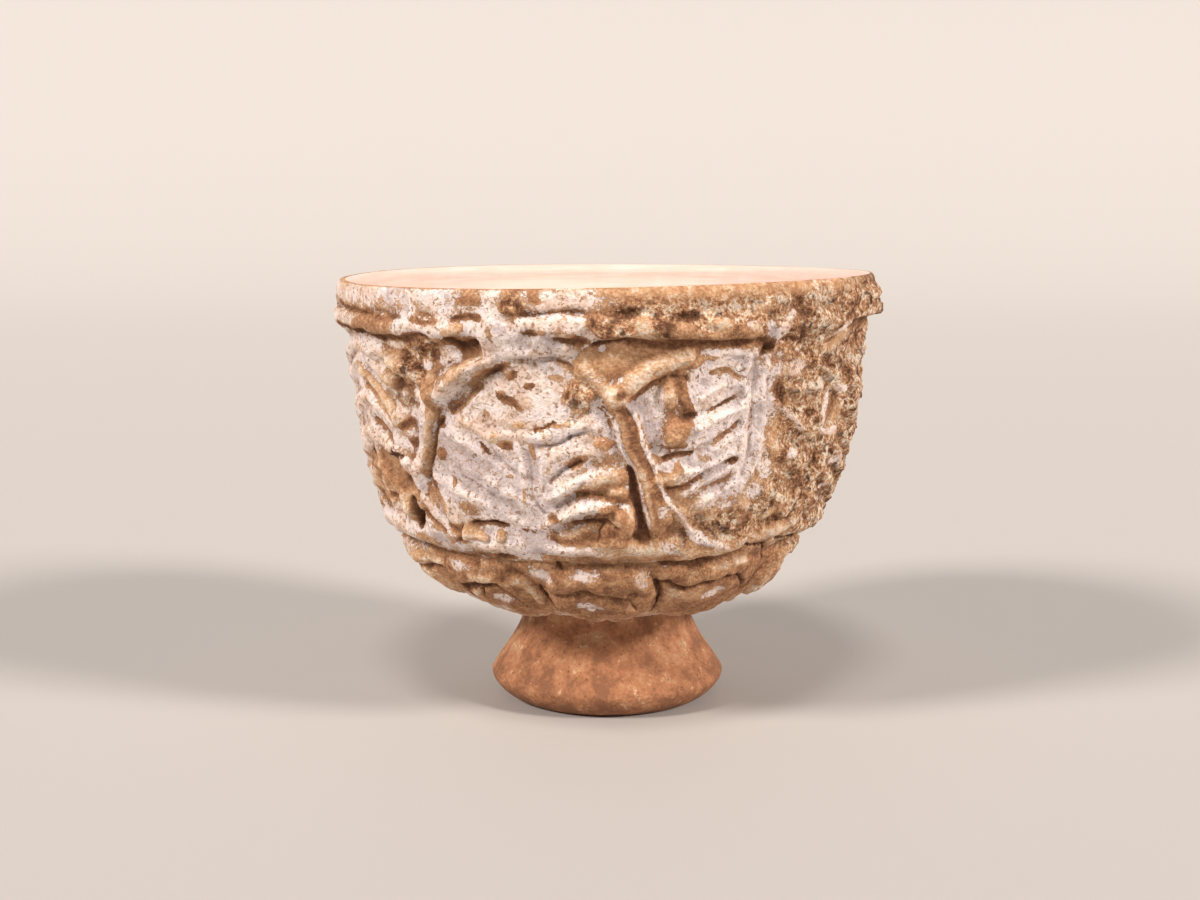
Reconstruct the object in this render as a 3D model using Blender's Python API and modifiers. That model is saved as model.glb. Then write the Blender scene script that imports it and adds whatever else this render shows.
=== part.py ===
"""A moulded pottery cup: a deep bowl with an arcade of leaf panels and a ring of petals in relief,
under a plain rim with a raised cordon, on a flared foot with a shallow recess below.

Blender 4.5. Metres, +Z up. The origin is on the floor, under the middle of the cup, and the side at
-Y is the front. The cup is one piece of fired clay, so it is one solid.
"""

import math

import bmesh
import bpy
import numpy as np
from mathutils import Vector
from mathutils.geometry import interpolate_bezier

MM = 0.001

# Foot
FOOT_HEIGHT = 21.4 * MM
FOOT_RADIUS = 25.9 * MM
FOOT_EDGE_HEIGHT = 5.3 * MM
STANDING_RADIUS = 20.4 * MM
RECESS_RADIUS = 14.6 * MM
RECESS_DEPTH = 3.2 * MM
NECK_RADIUS = 18.3 * MM

# Bowl, measured on the ground of the relief
BOWL_HEIGHT = 72.1 * MM
SHOULDER_RADIUS = 47.0 * MM
SHOULDER_HEIGHT = 21.0 * MM
WALL_TOP_RADIUS = 55.2 * MM
WALL = 4.6 * MM
FLOOR_THICKNESS = 7.4 * MM

# Rim, and how far the thrown bowl stands off level and off centre
RIM_RADIUS = 58.6 * MM
RIM_DEPTH = 13.6 * MM
RIM_FLARE_HEIGHT = 6.0 * MM
LIP_THICKNESS = 4.0 * MM
LIP_OUTER_ROUND = 1.5 * MM
LIP_DROP = 2.1 * MM
RIM_RISE = 0.6 * MM
RIM_TWIST = 0.3 * MM
BELLY_SHIFT = 1.5 * MM
BELLY_SHIFT_BELOW_SHOULDER = 7.0 * MM
BELLY_SHIFT_REACH = 15.0 * MM

# Cordons and the grooves beside them
RIM_CORDON_BELOW_LIP = 7.9 * MM
RIM_CORDON_HALF_WIDTH = 2.7 * MM
RIM_CORDON_HEIGHT = 0.7 * MM
RIM_NOTCH_BELOW_LIP = 5.1 * MM
RIM_NOTCH_HALF_WIDTH = 1.0 * MM
RIM_NOTCH_DEPTH = 0.6 * MM
LOWER_CORDON_HALF_WIDTH = 3.2 * MM
LOWER_CORDON_HEIGHT = 1.6 * MM
LOWER_GROOVE_BELOW_CORDON = 4.4 * MM
LOWER_GROOVE_HALF_WIDTH = 1.4 * MM
LOWER_GROOVE_DEPTH = 0.9 * MM

# Arcade of panels. Angles are in degrees, from the front towards the right. A roundness of 2 gives
# a round arch, and 1 a gable.
PANELS = 8
FIRST_COLUMN_ANGLE = 7.3
SPACING_DRIFT = 5.0
COLUMN_LEAN = 4.8
COLUMN_TOP_HALF_WIDTH = 2.2 * MM
COLUMN_FOOT_HALF_WIDTH = 3.2 * MM
COLUMN_HEIGHT = 1.7 * MM
COLUMN_FOOT_ABOVE_CORDON = 3.0 * MM
ARCH_TOP_BELOW_LIP = 12.5 * MM
ARCH_RISE = 11.0 * MM
ARCH_ROUNDNESS = 1.5
ARCH_HALF_WIDTH = 2.3 * MM
ARCH_HEIGHT = 1.7 * MM

# The curl at the left of each column's foot, and the spur that runs down at its right
CURL_OFFSET = 5.6 * MM
CURL_ABOVE_COLUMN_FOOT = 3.2 * MM
CURL_RADIUS = 3.7 * MM
CURL_HEIGHT = 2.4 * MM
SPUR_RUN = 7.4 * MM
SPUR_RISE = 8.0 * MM
SPUR_HALF_WIDTH = 1.6 * MM
SPUR_HEIGHT = 1.2 * MM

# Leaves in the panels: leaflets rise from the stem in one panel and hang from it in the next
STEM_HALF_WIDTH = 1.8 * MM
STEM_HEIGHT = 0.9 * MM
LEAFLET_ROOT_HEIGHT = 0.8 * MM
LEAFLET_TIP_HEIGHT = 1.6 * MM
LEAFLET_GAP_TO_COLUMN = 1.6 * MM
RISING_FIRST_ROOT = 0.6 * MM
RISING_PITCH = 4.7 * MM
RISING_LIFT = 7.5 * MM
RISING_ROOT_HALF_WIDTH = 1.2 * MM
RISING_TIP_HALF_WIDTH = 2.1 * MM
HANGING_FIRST_ROOT = 2.4 * MM
HANGING_PITCH = 7.6 * MM
HANGING_DROP = 6.5 * MM
HANGING_ROOT_HALF_WIDTH = 1.7 * MM
HANGING_TIP_HALF_WIDTH = 3.1 * MM

# Petals under the bowl. The ring's place and width are shares of the petal's own half length.
PETALS = 10
PETAL_FOOT_ABOVE_JOINT = 1.8 * MM
PETAL_GAP = 1.6 * MM
PETAL_HEIGHT = 1.6 * MM
PETAL_RING_DEPTH = 0.8 * MM
PETAL_RING_AT = 0.58
PETAL_RING_WIDTH = 0.12
PETAL_SQUARENESS = 2.6

# Handles of the outline's curves, as shares of the stretch that each one bends
SHOULDER_SLOPE = Vector((0.46, 0.89))
JOINT_HANDLE = Vector((0.38, 0.05))
SHOULDER_HANDLE_BELOW = 0.58
SHOULDER_HANDLE_ABOVE = 0.34
WALL_TOP_HANDLE = Vector((0.014, 0.26))
FLOOR_HANDLE = 0.55
EDGE_HANDLE_BELOW = Vector((0.03, 0.38))
EDGE_HANDLE_ABOVE = Vector((0.30, 0.28))
NECK_HANDLE = 0.42
STANDING_HANDLE = 0.35
RECESS_HANDLES = Vector((0.55, 0.86))

# Fineness of the modelling
TURN_STEPS = 540
FINE_STEP = 0.7 * MM
COARSE_STEP = 1.8 * MM
KEPT_TRIANGLES = 9400
AXIS_RADIUS = 0.01 * MM
GROUND_OFF = 0.1 * MM
SMALL_SHARE = 0.001

JOINT_Z = FOOT_HEIGHT
LIP_Z = FOOT_HEIGHT + BOWL_HEIGHT
SHOULDER_Z = JOINT_Z + SHOULDER_HEIGHT
WALL_TOP_Z = LIP_Z - RIM_DEPTH
FLOOR_Z = JOINT_Z + FLOOR_THICKNESS
GROOVE_Z = SHOULDER_Z - LOWER_GROOVE_BELOW_CORDON
COLUMN_FOOT_Z = SHOULDER_Z + COLUMN_FOOT_ABOVE_CORDON
ARCH_TOP_Z = LIP_Z - ARCH_TOP_BELOW_LIP
SPRING_Z = ARCH_TOP_Z - ARCH_RISE


def clear_scene():
    """Removes every object that the file starts with."""
    for obj in list(bpy.data.objects):
        bpy.data.objects.remove(obj)


def new_collection(name):
    """A collection of this name, in the scene."""
    collection = bpy.data.collections.new(name)
    bpy.context.scene.collection.children.link(collection)
    return collection


def smoothstep(low, high, value):
    """0 below low, 1 above high, and a smooth rise between them."""
    share = np.clip((value - low) / (high - low), 0.0, 1.0)
    return share * share * (3.0 - 2.0 * share)


def bezier(start, start_handle, end_handle, end, step):
    """Points on a Bezier stretch of the outline, about a step apart, without its last point."""
    cage = (start, start_handle, end_handle, end)
    length = sum((b - a).length for a, b in zip(cage, cage[1:]))
    count = max(3, round(length / step))
    points = interpolate_bezier(start, start_handle, end_handle, end, count + 1)
    return [Vector((p[0], p[1])) for p in points[:-1]]


def scaled(shares, width, height):
    """A handle given as shares of a width and of a height."""
    return Vector((shares.x * width, shares.y * height))


def wall_ground():
    """The outer ground of the bowl from the joint up to the rim."""
    joint = Vector((NECK_RADIUS, JOINT_Z))
    shoulder = Vector((SHOULDER_RADIUS, SHOULDER_Z))
    top = Vector((WALL_TOP_RADIUS, WALL_TOP_Z))
    belly = SHOULDER_RADIUS - NECK_RADIUS
    rise = WALL_TOP_Z - SHOULDER_Z
    below = SHOULDER_SLOPE * SHOULDER_HANDLE_BELOW * SHOULDER_HEIGHT
    above = SHOULDER_SLOPE * SHOULDER_HANDLE_ABOVE * rise
    lower = bezier(joint, joint + scaled(JOINT_HANDLE, belly, SHOULDER_HEIGHT),
                   shoulder - below, shoulder, FINE_STEP)
    upper = bezier(shoulder, shoulder + above, top - WALL_TOP_HANDLE * rise, top, FINE_STEP)
    return lower + upper + [top]


def rim_ground():
    """The outer line of the rim, from the top of the wall to where the lip rounds over."""
    count = round((RIM_DEPTH - LIP_OUTER_ROUND) / FINE_STEP)
    heights = np.linspace(WALL_TOP_Z, LIP_Z - LIP_OUTER_ROUND, count + 1)[1:]
    swell = smoothstep(WALL_TOP_Z, WALL_TOP_Z + RIM_FLARE_HEIGHT, heights)
    radii = WALL_TOP_RADIUS + (RIM_RADIUS - WALL_TOP_RADIUS) * swell
    return [Vector((r, z)) for r, z in zip(radii, heights)]


def lip():
    """The lip: a tight round at its outer side and a long round falling to its inner side."""
    crest = Vector((RIM_RADIUS - LIP_OUTER_ROUND, LIP_Z))
    inner_run = LIP_THICKNESS - LIP_OUTER_ROUND
    outer = [crest + Vector((math.cos(a) * LIP_OUTER_ROUND, (math.sin(a) - 1.0) * LIP_OUTER_ROUND))
             for a in np.radians(np.linspace(0.0, 90.0, 5)[1:])]
    inner = [crest + Vector((-math.sin(a) * inner_run, (math.cos(a) - 1.0) * LIP_DROP))
             for a in np.radians(np.linspace(0.0, 90.0, 6)[1:])]
    return outer + inner


def inside():
    """The inside of the bowl, from the lip down to the middle of its floor."""
    lip_inner = Vector((RIM_RADIUS - LIP_THICKNESS, LIP_Z - LIP_DROP))
    wall_top = Vector((WALL_TOP_RADIUS - WALL, WALL_TOP_Z))
    inward = Vector((-SHOULDER_SLOPE.y, SHOULDER_SLOPE.x)) * WALL
    shoulder = Vector((SHOULDER_RADIUS, SHOULDER_Z)) + inward
    middle = Vector((0.0, FLOOR_Z))
    rise = WALL_TOP_Z - shoulder.y
    drop = shoulder.y - FLOOR_Z
    throat = Vector((0.0, (lip_inner.y - wall_top.y) / 3))
    points = bezier(lip_inner, lip_inner - throat, wall_top + throat, wall_top, COARSE_STEP)
    points += bezier(wall_top, wall_top - WALL_TOP_HANDLE * rise,
                     shoulder + SHOULDER_SLOPE * SHOULDER_HANDLE_ABOVE * rise, shoulder, COARSE_STEP)
    points += bezier(shoulder, shoulder - SHOULDER_SLOPE * SHOULDER_HANDLE_BELOW * drop,
                     middle + Vector((FLOOR_HANDLE * shoulder.x, 0.0)), middle, COARSE_STEP)
    return points[1:] + [middle]


def foot():
    """The foot, from the middle of its recess out under the standing ring and up to the neck."""
    recess_top = Vector((0.0, RECESS_DEPTH))
    ring_inner = Vector((RECESS_RADIUS, 0.0))
    ring_outer = Vector((STANDING_RADIUS, 0.0))
    edge = Vector((FOOT_RADIUS, FOOT_EDGE_HEIGHT))
    neck = Vector((NECK_RADIUS, JOINT_Z))
    overhang = FOOT_RADIUS - STANDING_RADIUS
    waist = FOOT_RADIUS - NECK_RADIUS
    rise = JOINT_Z - FOOT_EDGE_HEIGHT
    flat, turned_down = RECESS_HANDLES * RECESS_RADIUS
    points = bezier(recess_top, Vector((flat, RECESS_DEPTH)), Vector((turned_down, RECESS_DEPTH)),
                    ring_inner, COARSE_STEP)
    points += [ring_inner]
    points += bezier(ring_outer, ring_outer + Vector((STANDING_HANDLE * overhang, 0.0)),
                     edge + scaled(EDGE_HANDLE_BELOW, overhang, -FOOT_EDGE_HEIGHT), edge, FINE_STEP)
    points += bezier(edge, edge + scaled(EDGE_HANDLE_ABOVE, -waist, rise),
                     neck - Vector((0.0, NECK_HANDLE * rise)), neck, COARSE_STEP)
    return points


def outline():
    """The whole outline as (radius, height) from the middle of the floor inside, over the lip,
    down the outside and under the foot, and the share of relief that each point carries."""
    carved = wall_ground() + rim_ground()
    smooth_top = lip() + inside()
    under = foot()
    upward = under + carved + smooth_top
    shares = [0.0] * len(under) + [1.0] * len(carved) + [0.0] * len(smooth_top)
    points = np.array([tuple(p) for p in reversed(upward)])
    return points, np.array(shares[::-1])


def outline_normals(points):
    """The outward direction of the wall at each point of the outline."""
    along = np.gradient(points, axis=0)
    normals = np.stack([-along[:, 1], along[:, 0]], axis=1)
    return normals / np.linalg.norm(normals, axis=1)[:, None]


def ridge(distance, half_width, height):
    """A rounded ridge: its height at this distance from its line, and 0 past its half width."""
    share = np.clip(np.abs(distance) / half_width, 0.0, 1.0)
    return height * (1.0 - share**2) ** 1.5


def tapered_ridge(across, height, root, tip, half_widths, tops):
    """A straight ridge between two points, whose half width and top change from root to tip."""
    run = (tip[0] - root[0], tip[1] - root[1])
    length_squared = run[0] ** 2 + run[1] ** 2
    share = ((across - root[0]) * run[0] + (height - root[1]) * run[1]) / length_squared
    share = np.clip(share, 0.0, 1.0)
    away = np.hypot(across - root[0] - share * run[0], height - root[1] - share * run[1])
    half_width = half_widths[0] + (half_widths[1] - half_widths[0]) * share
    return ridge(away, half_width, tops[0] + (tops[1] - tops[0]) * share)


def column_angle(index, height):
    """The angle of a column's middle line at this height. Each column leans away from the panel
    with rising leaflets, so that panel is wider below."""
    turn = 360.0 / PANELS
    drift = SPACING_DRIFT * math.sin(math.radians(turn * index))
    lean = COLUMN_LEAN if index % 2 == 0 else -COLUMN_LEAN
    up = np.clip((height - COLUMN_FOOT_Z) / (SPRING_Z - COLUMN_FOOT_Z), 0.0, 1.0)
    return FIRST_COLUMN_ANGLE + turn * index + drift + lean * (1.0 - 2.0 * up)


def panel_turn(index, height):
    """The angle from one column to the next at this height."""
    return (column_angle((index + 1) % PANELS, height) - column_angle(index, height)) % 360.0


def angle_between(angle, other):
    """The turn from one angle to another, from -180 to 180."""
    return (angle - other + 180.0) % 360.0 - 180.0


def column(across, height):
    """One column, which widens downward, with a curl at the left of its foot and a spur at the
    right."""
    up = np.clip((height - COLUMN_FOOT_Z) / (SPRING_Z - COLUMN_FOOT_Z), 0.0, 1.0)
    half_width = COLUMN_FOOT_HALF_WIDTH + (COLUMN_TOP_HALF_WIDTH - COLUMN_FOOT_HALF_WIDTH) * up
    beyond = np.maximum(np.maximum(COLUMN_FOOT_Z - height, height - SPRING_Z), 0.0)
    shaft = ridge(np.hypot(across, beyond), half_width, COLUMN_HEIGHT)
    curl_z = COLUMN_FOOT_Z + CURL_ABOVE_COLUMN_FOOT
    curl = ridge(np.hypot(across + CURL_OFFSET, height - curl_z), CURL_RADIUS, CURL_HEIGHT)
    spur = tapered_ridge(across, height, (0.0, COLUMN_FOOT_Z + SPUR_RISE), (SPUR_RUN, COLUMN_FOOT_Z),
                         (SPUR_HALF_WIDTH, SPUR_HALF_WIDTH), (SPUR_HEIGHT, SPUR_HEIGHT))
    return np.maximum(shaft, np.maximum(curl, spur))


def arch(across, height, half_span):
    """The arch over one panel, from one column's top to the next one's."""
    over = np.maximum(height - SPRING_Z, 0.0)
    side, up, power = np.abs(across) / half_span, over / ARCH_RISE, ARCH_ROUNDNESS
    share = np.maximum((side**power + up**power) ** (1 / power), SMALL_SHARE)
    steepness = np.hypot(side ** (power - 1) / half_span, up ** (power - 1) / ARCH_RISE)
    away = (share - 1.0) * share ** (power - 1) / np.maximum(steepness, 1.0)
    return np.where(height >= SPRING_Z, ridge(away, ARCH_HALF_WIDTH, ARCH_HEIGHT), 0.0)


def leaflet_heights(rising):
    """The heights of each pair's roots and tips, as many as the panel holds."""
    if rising:
        roots = np.arange(COLUMN_FOOT_Z + RISING_FIRST_ROOT, SPRING_Z - RISING_PITCH, RISING_PITCH)
        return [(root, root + RISING_LIFT) for root in roots]
    lowest_root = COLUMN_FOOT_Z + HANGING_DROP + HANGING_TIP_HALF_WIDTH
    roots = np.arange(ARCH_TOP_Z - HANGING_FIRST_ROOT, lowest_root, -HANGING_PITCH)
    return [(root, root - HANGING_DROP) for root in roots]


def leaf(across, height, half_span, rising):
    """The leaf of one panel: a stem, and leaflets in pairs that rise from it or hang from it."""
    stem_top = ARCH_TOP_Z - ARCH_HALF_WIDTH
    beyond = np.maximum(np.maximum(COLUMN_FOOT_Z - height, height - stem_top), 0.0)
    relief = ridge(np.hypot(across, beyond), STEM_HALF_WIDTH, STEM_HEIGHT)
    half_widths = ((RISING_ROOT_HALF_WIDTH, RISING_TIP_HALF_WIDTH) if rising
                   else (HANGING_ROOT_HALF_WIDTH, HANGING_TIP_HALF_WIDTH))
    margin = COLUMN_FOOT_HALF_WIDTH + LEAFLET_GAP_TO_COLUMN + half_widths[1]
    for root_z, tip_z in leaflet_heights(rising):
        reach = half_span(tip_z) - margin
        for side in (-1, 1):
            leaflet = tapered_ridge(across, height, (0.0, root_z), (side * reach, tip_z), half_widths,
                                    (LEAFLET_ROOT_HEIGHT, LEAFLET_TIP_HEIGHT))
            relief = np.maximum(relief, leaflet)
    return relief


def arcade(angle, radius, height):
    """The relief of the panels: the columns, the arches that spring from them, and the leaves."""
    relief = np.zeros_like(angle)
    for index in range(PANELS):
        def half_span(at_height, index=index):
            return math.radians(float(panel_turn(index, at_height)) / 2) * WALL_TOP_RADIUS

        left = column_angle(index, height)
        across = np.radians(angle_between(angle, left)) * radius
        relief = np.maximum(relief, column(across, height))
        middle = left + panel_turn(index, height) / 2
        across = np.radians(angle_between(angle, middle)) * radius
        relief = np.maximum(relief, arch(across, height, half_span(SPRING_Z)))
        within = np.abs(across) < half_span(COLUMN_FOOT_Z)
        panel_leaf = leaf(across, height, half_span, rising=index % 2 == 1)
        relief = np.maximum(relief, np.where(within, panel_leaf, 0.0))
    return relief


def petals(angle, radius, height, reach):
    """The relief of the petals under the bowl, each a domed tongue with a sunk ring inside it."""
    in_band = (height > JOINT_Z + PETAL_FOOT_ABOVE_JOINT) & (height < GROOVE_Z)
    low_reach, top_reach = reach[in_band].min(), reach[in_band].max()
    turn = 360.0 / PETALS
    across = np.radians((angle + turn / 2) % turn - turn / 2) * radius
    half_width = np.radians(turn / 2) * radius - PETAL_GAP / 2
    along = (reach - (low_reach + top_reach) / 2) / ((top_reach - low_reach) / 2)
    power = PETAL_SQUARENESS
    share = (np.abs(across / half_width) ** power + np.abs(along) ** power) ** (1 / power)
    dome = PETAL_HEIGHT * np.sqrt(np.clip(1.0 - share**2, 0.0, 1.0))
    ring = PETAL_RING_DEPTH * np.exp(-(((share - PETAL_RING_AT) / PETAL_RING_WIDTH) ** 2))
    return np.where(in_band & (share < 1.0), dome - ring, 0.0)


def cordons(height):
    """The relief of the turned cordons and of the grooves beside them."""
    bands = (
        (LIP_Z - RIM_CORDON_BELOW_LIP, RIM_CORDON_HALF_WIDTH, RIM_CORDON_HEIGHT),
        (LIP_Z - RIM_NOTCH_BELOW_LIP, RIM_NOTCH_HALF_WIDTH, -RIM_NOTCH_DEPTH),
        (SHOULDER_Z, LOWER_CORDON_HALF_WIDTH, LOWER_CORDON_HEIGHT),
        (GROOVE_Z, LOWER_GROOVE_HALF_WIDTH, -LOWER_GROOVE_DEPTH),
    )
    return sum(ridge(height - middle, half_width, relief) for middle, half_width, relief in bands)


def relief_height(angle, radius, height, reach):
    """How far the carved surface stands out from the ground, at every point of the outside."""
    raised = np.maximum(arcade(angle, radius, height), petals(angle, radius, height, reach))
    bands = cordons(height)
    return np.where(np.abs(bands) > np.abs(raised), bands, raised)


def hand_rise(angle, height):
    """How far the rim, and less and less of the bowl below it, stands off level: it rises towards
    the right and twists a little."""
    turned = np.radians(angle)
    full = RIM_RISE * np.sin(turned) + RIM_TWIST * np.sin(2 * turned)
    return full * np.clip((height - JOINT_Z) / BOWL_HEIGHT, 0.0, 1.0) ** 2


def hand_shift(height):
    """How far the belly leans out to the left of the foot and the rim."""
    middle = SHOULDER_Z - BELLY_SHIFT_BELOW_SHOULDER
    share = np.clip((height - middle) / BELLY_SHIFT_REACH, -1.0, 1.0)
    return BELLY_SHIFT * (1.0 - share**2) ** 2


def bake_modifiers(obj):
    """Gives an object the mesh that its modifiers make, and takes them off."""
    bpy.context.view_layer.update()
    graph = bpy.context.evaluated_depsgraph_get()
    before = obj.data
    baked = bpy.data.meshes.new_from_object(obj.evaluated_get(graph))
    obj.modifiers.clear()
    obj.data = baked
    bpy.data.meshes.remove(before)


def turn_outline(points, name, collection):
    """The outline turned about the Z axis by a Screw modifier, as a mesh whose vertices run ring
    by ring in the outline's own order."""
    mesh = bpy.data.meshes.new(name)
    edges = [(i, i + 1) for i in range(len(points) - 1)]
    mesh.from_pydata([(r, 0.0, z) for r, z in points], edges, [])
    turned = bpy.data.objects.new(name, mesh)
    collection.objects.link(turned)
    screw = turned.modifiers.new("Turn", "SCREW")
    screw.axis = "Z"
    screw.steps = TURN_STEPS
    screw.render_steps = TURN_STEPS
    screw.use_merge_vertices = False
    bake_modifiers(turned)
    return turned


def carve(cup, points, shares):
    """Moves the turned surface outward by the relief, along the wall's own outward direction, and
    then sets the rim off level and the belly off centre."""
    place = np.zeros(len(cup.data.vertices) * 3)
    cup.data.vertices.foreach_get("co", place)
    place = place.reshape(-1, len(points), 3)
    angle = np.degrees(np.arctan2(place[:, :, 0], -place[:, :, 1]))
    radius = np.broadcast_to(np.maximum(points[:, 0], AXIS_RADIUS), angle.shape)
    height = np.broadcast_to(points[:, 1], angle.shape)
    runs = np.linalg.norm(np.diff(points, axis=0), axis=1)
    reach = np.broadcast_to(-np.concatenate([[0.0], np.cumsum(runs)]), angle.shape)
    carved = shares > 0.0
    relief = np.zeros_like(angle)
    relief[:, carved] = relief_height(angle[:, carved], radius[:, carved], height[:, carved],
                                      reach[:, carved])
    normals = outline_normals(points)
    outward = place[:, :, :2] / radius[:, :, None]
    place[:, :, :2] += outward * (relief * normals[:, 0])[:, :, None]
    place[:, :, 2] += relief * normals[:, 1] + hand_rise(angle, height)
    place[:, :, 0] -= hand_shift(height)
    cup.data.vertices.foreach_set("co", place.ravel())
    cup.data.update()


def close_poles(cup):
    """Merges the points that the turning left on the axis, inside the bowl and under the foot."""
    work = bmesh.new()
    work.from_mesh(cup.data)
    bmesh.ops.remove_doubles(work, verts=work.verts, dist=AXIS_RADIUS)
    bmesh.ops.triangulate(work, faces=work.faces)
    work.to_mesh(cup.data)
    work.free()


def lighten(cup):
    """Keeps the triangles that the carved shape needs, and grinds the standing ring flat."""
    decimate = cup.modifiers.new("Lighten", "DECIMATE")
    decimate.ratio = KEPT_TRIANGLES / len(cup.data.polygons)
    bake_modifiers(cup)
    for vertex in cup.data.vertices:
        if vertex.co.z < GROUND_OFF:
            vertex.co.z = 0.0


def weathered_pottery():
    """Cream glaze weathered to chalk over buff clay: pale, warm and matt."""
    material = bpy.data.materials.new("weathered_pottery")
    material.use_nodes = True
    shader = material.node_tree.nodes["Principled BSDF"]
    shader.inputs["Base Color"].default_value = (0.56, 0.41, 0.29, 1.0)
    shader.inputs["Roughness"].default_value = 0.78
    shader.inputs["Metallic"].default_value = 0.0
    return material


def build_cup(collection):
    """The whole cup, as one closed body."""
    points, shares = outline()
    cup = turn_outline(points, "cup", collection)
    carve(cup, points, shares)
    close_poles(cup)
    lighten(cup)
    cup.data.shade_smooth()
    cup.data.materials.append(weathered_pottery())
    return cup


clear_scene()
build_cup(new_collection("carved_pottery_cup"))
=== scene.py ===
"""The looks of a moulded pottery cup that has lain in the ground: lead glaze gone to chalk, brown
burial crust in its relief, and a bare clay foot.

The surface is built at full size from the same outline and relief as the solid that it stands for,
with the carving, the lost flakes and the crust that show at the front put in one by one. Lengths are
in metres, but those of marks and of patterns are in millimetres. Angles round the cup are in degrees,
0 at the front (-Y) and growing towards the right (+X).
"""

import logging
import math
from dataclasses import dataclass, field
from enum import Enum, IntEnum
from functools import partial
from typing import Any, Callable, ClassVar, Sequence

import bpy
import numpy as np
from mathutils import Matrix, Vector
from mathutils.geometry import interpolate_bezier


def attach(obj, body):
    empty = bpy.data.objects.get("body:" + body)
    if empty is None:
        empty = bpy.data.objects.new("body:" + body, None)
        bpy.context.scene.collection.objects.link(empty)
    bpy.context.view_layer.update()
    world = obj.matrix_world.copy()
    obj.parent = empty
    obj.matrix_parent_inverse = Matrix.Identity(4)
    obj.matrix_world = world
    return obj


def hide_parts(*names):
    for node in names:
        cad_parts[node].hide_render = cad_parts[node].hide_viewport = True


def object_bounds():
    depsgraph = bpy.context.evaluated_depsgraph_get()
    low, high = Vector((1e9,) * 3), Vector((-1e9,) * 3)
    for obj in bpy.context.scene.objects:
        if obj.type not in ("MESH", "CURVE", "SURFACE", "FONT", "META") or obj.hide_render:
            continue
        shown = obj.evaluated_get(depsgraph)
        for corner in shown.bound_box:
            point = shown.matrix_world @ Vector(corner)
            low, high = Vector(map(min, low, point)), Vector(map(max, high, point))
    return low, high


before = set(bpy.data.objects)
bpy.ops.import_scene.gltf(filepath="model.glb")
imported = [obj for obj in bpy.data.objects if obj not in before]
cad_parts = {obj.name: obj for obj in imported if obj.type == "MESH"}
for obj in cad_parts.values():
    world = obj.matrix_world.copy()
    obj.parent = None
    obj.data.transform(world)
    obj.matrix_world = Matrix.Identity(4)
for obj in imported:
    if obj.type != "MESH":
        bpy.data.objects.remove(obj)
CAD_LOW, CAD_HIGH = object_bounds()

MM = 0.001
LOG = logging.getLogger("carved_cup")
Array = np.ndarray

# The radius on which the marks' places and widths are measured, about the wall's own in its middle
MARK_RADIUS = 53.0 * MM

# The sockets of a blend of colours, whose names its other kinds of blend share
FACTOR, FROM, TO = 0, 6, 7


class Zone(IntEnum):
    """Which finish a face has."""

    GLAZED = 0
    INSIDE = 1
    FOOT = 2


class Leaves(Enum):
    """How the leaflets of a panel grow from its stem."""

    RISING = "rising"
    HANGING = "hanging"


def linear_colour(code: str) -> tuple[float, float, float, float]:
    """Turns an sRGB colour into a linear one.

    Args:
        code: The colour as a hex code, such as "#E6D8CC".

    Returns:
        Linear red, green and blue, and an alpha of 1.
    """
    shares = [int(code[i:i + 2], 16) / 255 for i in (1, 3, 5)]
    linear = [s / 12.92 if s <= 0.04045 else ((s + 0.055) / 1.055) ** 2.4 for s in shares]
    return (linear[0], linear[1], linear[2], 1.0)


def per_metre(size_mm: float) -> float:
    """The scale that gives a pattern features of this size on coordinates in metres."""
    return 1.0 / (size_mm * MM)


class Node(Enum):
    """The kinds of node that the trees are made of.

    Each has its type, the name or number of the output that is read, and the settings that all nodes
    of its kind share.
    """

    NOISE = ("ShaderNodeTexNoise", 0, {})
    ADD = ("ShaderNodeMath", 0, {"operation": "ADD"})
    SUBTRACT = ("ShaderNodeMath", 0, {"operation": "SUBTRACT"})
    MULTIPLY = ("ShaderNodeMath", 0, {"operation": "MULTIPLY"})
    TIMES_PLUS = ("ShaderNodeMath", 0, {"operation": "MULTIPLY_ADD"})
    DIVIDE = ("ShaderNodeMath", 0, {"operation": "DIVIDE"})
    ABSOLUTE = ("ShaderNodeMath", 0, {"operation": "ABSOLUTE"})
    LARGER = ("ShaderNodeMath", 0, {"operation": "MAXIMUM"})
    SCALED = ("ShaderNodeVectorMath", 0, {"operation": "SCALE"})
    RANGE = ("ShaderNodeMapRange", 0, {})
    SMOOTH_RANGE = ("ShaderNodeMapRange", 0, {"interpolation_type": "SMOOTHSTEP"})
    BLEND = ("ShaderNodeMix", 2, {"data_type": "RGBA"})
    RAMP = ("ShaderNodeValToRGB", 0, {})
    COORDINATES = ("ShaderNodeTexCoord", "Object", {})
    MAPPING = ("ShaderNodeMapping", 0, {})
    ATTRIBUTE = ("ShaderNodeAttribute", "Fac", {})
    BUMP = ("ShaderNodeBump", 0, {})
    SHADER = ("ShaderNodeBsdfPrincipled", 0, {})
    POSITION = ("GeometryNodeInputPosition", 0, {})
    NORMAL = ("GeometryNodeInputNormal", 0, {})
    NAMED = ("GeometryNodeInputNamedAttribute", 0, {"data_type": "FLOAT"})
    NAMED_WHOLE = ("GeometryNodeInputNamedAttribute", 0, {"data_type": "INT"})
    STORE = ("GeometryNodeStoreNamedAttribute", 0, {"data_type": "FLOAT", "domain": "POINT"})
    MOVE = ("GeometryNodeSetPosition", 0, {})
    REALIZE = ("GeometryNodeRealizeInstances", 0, {})
    SAME_WHOLE = ("FunctionNodeCompare", 0, {"data_type": "INT", "operation": "EQUAL"})
    DRESS = ("GeometryNodeSetMaterial", 0, {})


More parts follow.
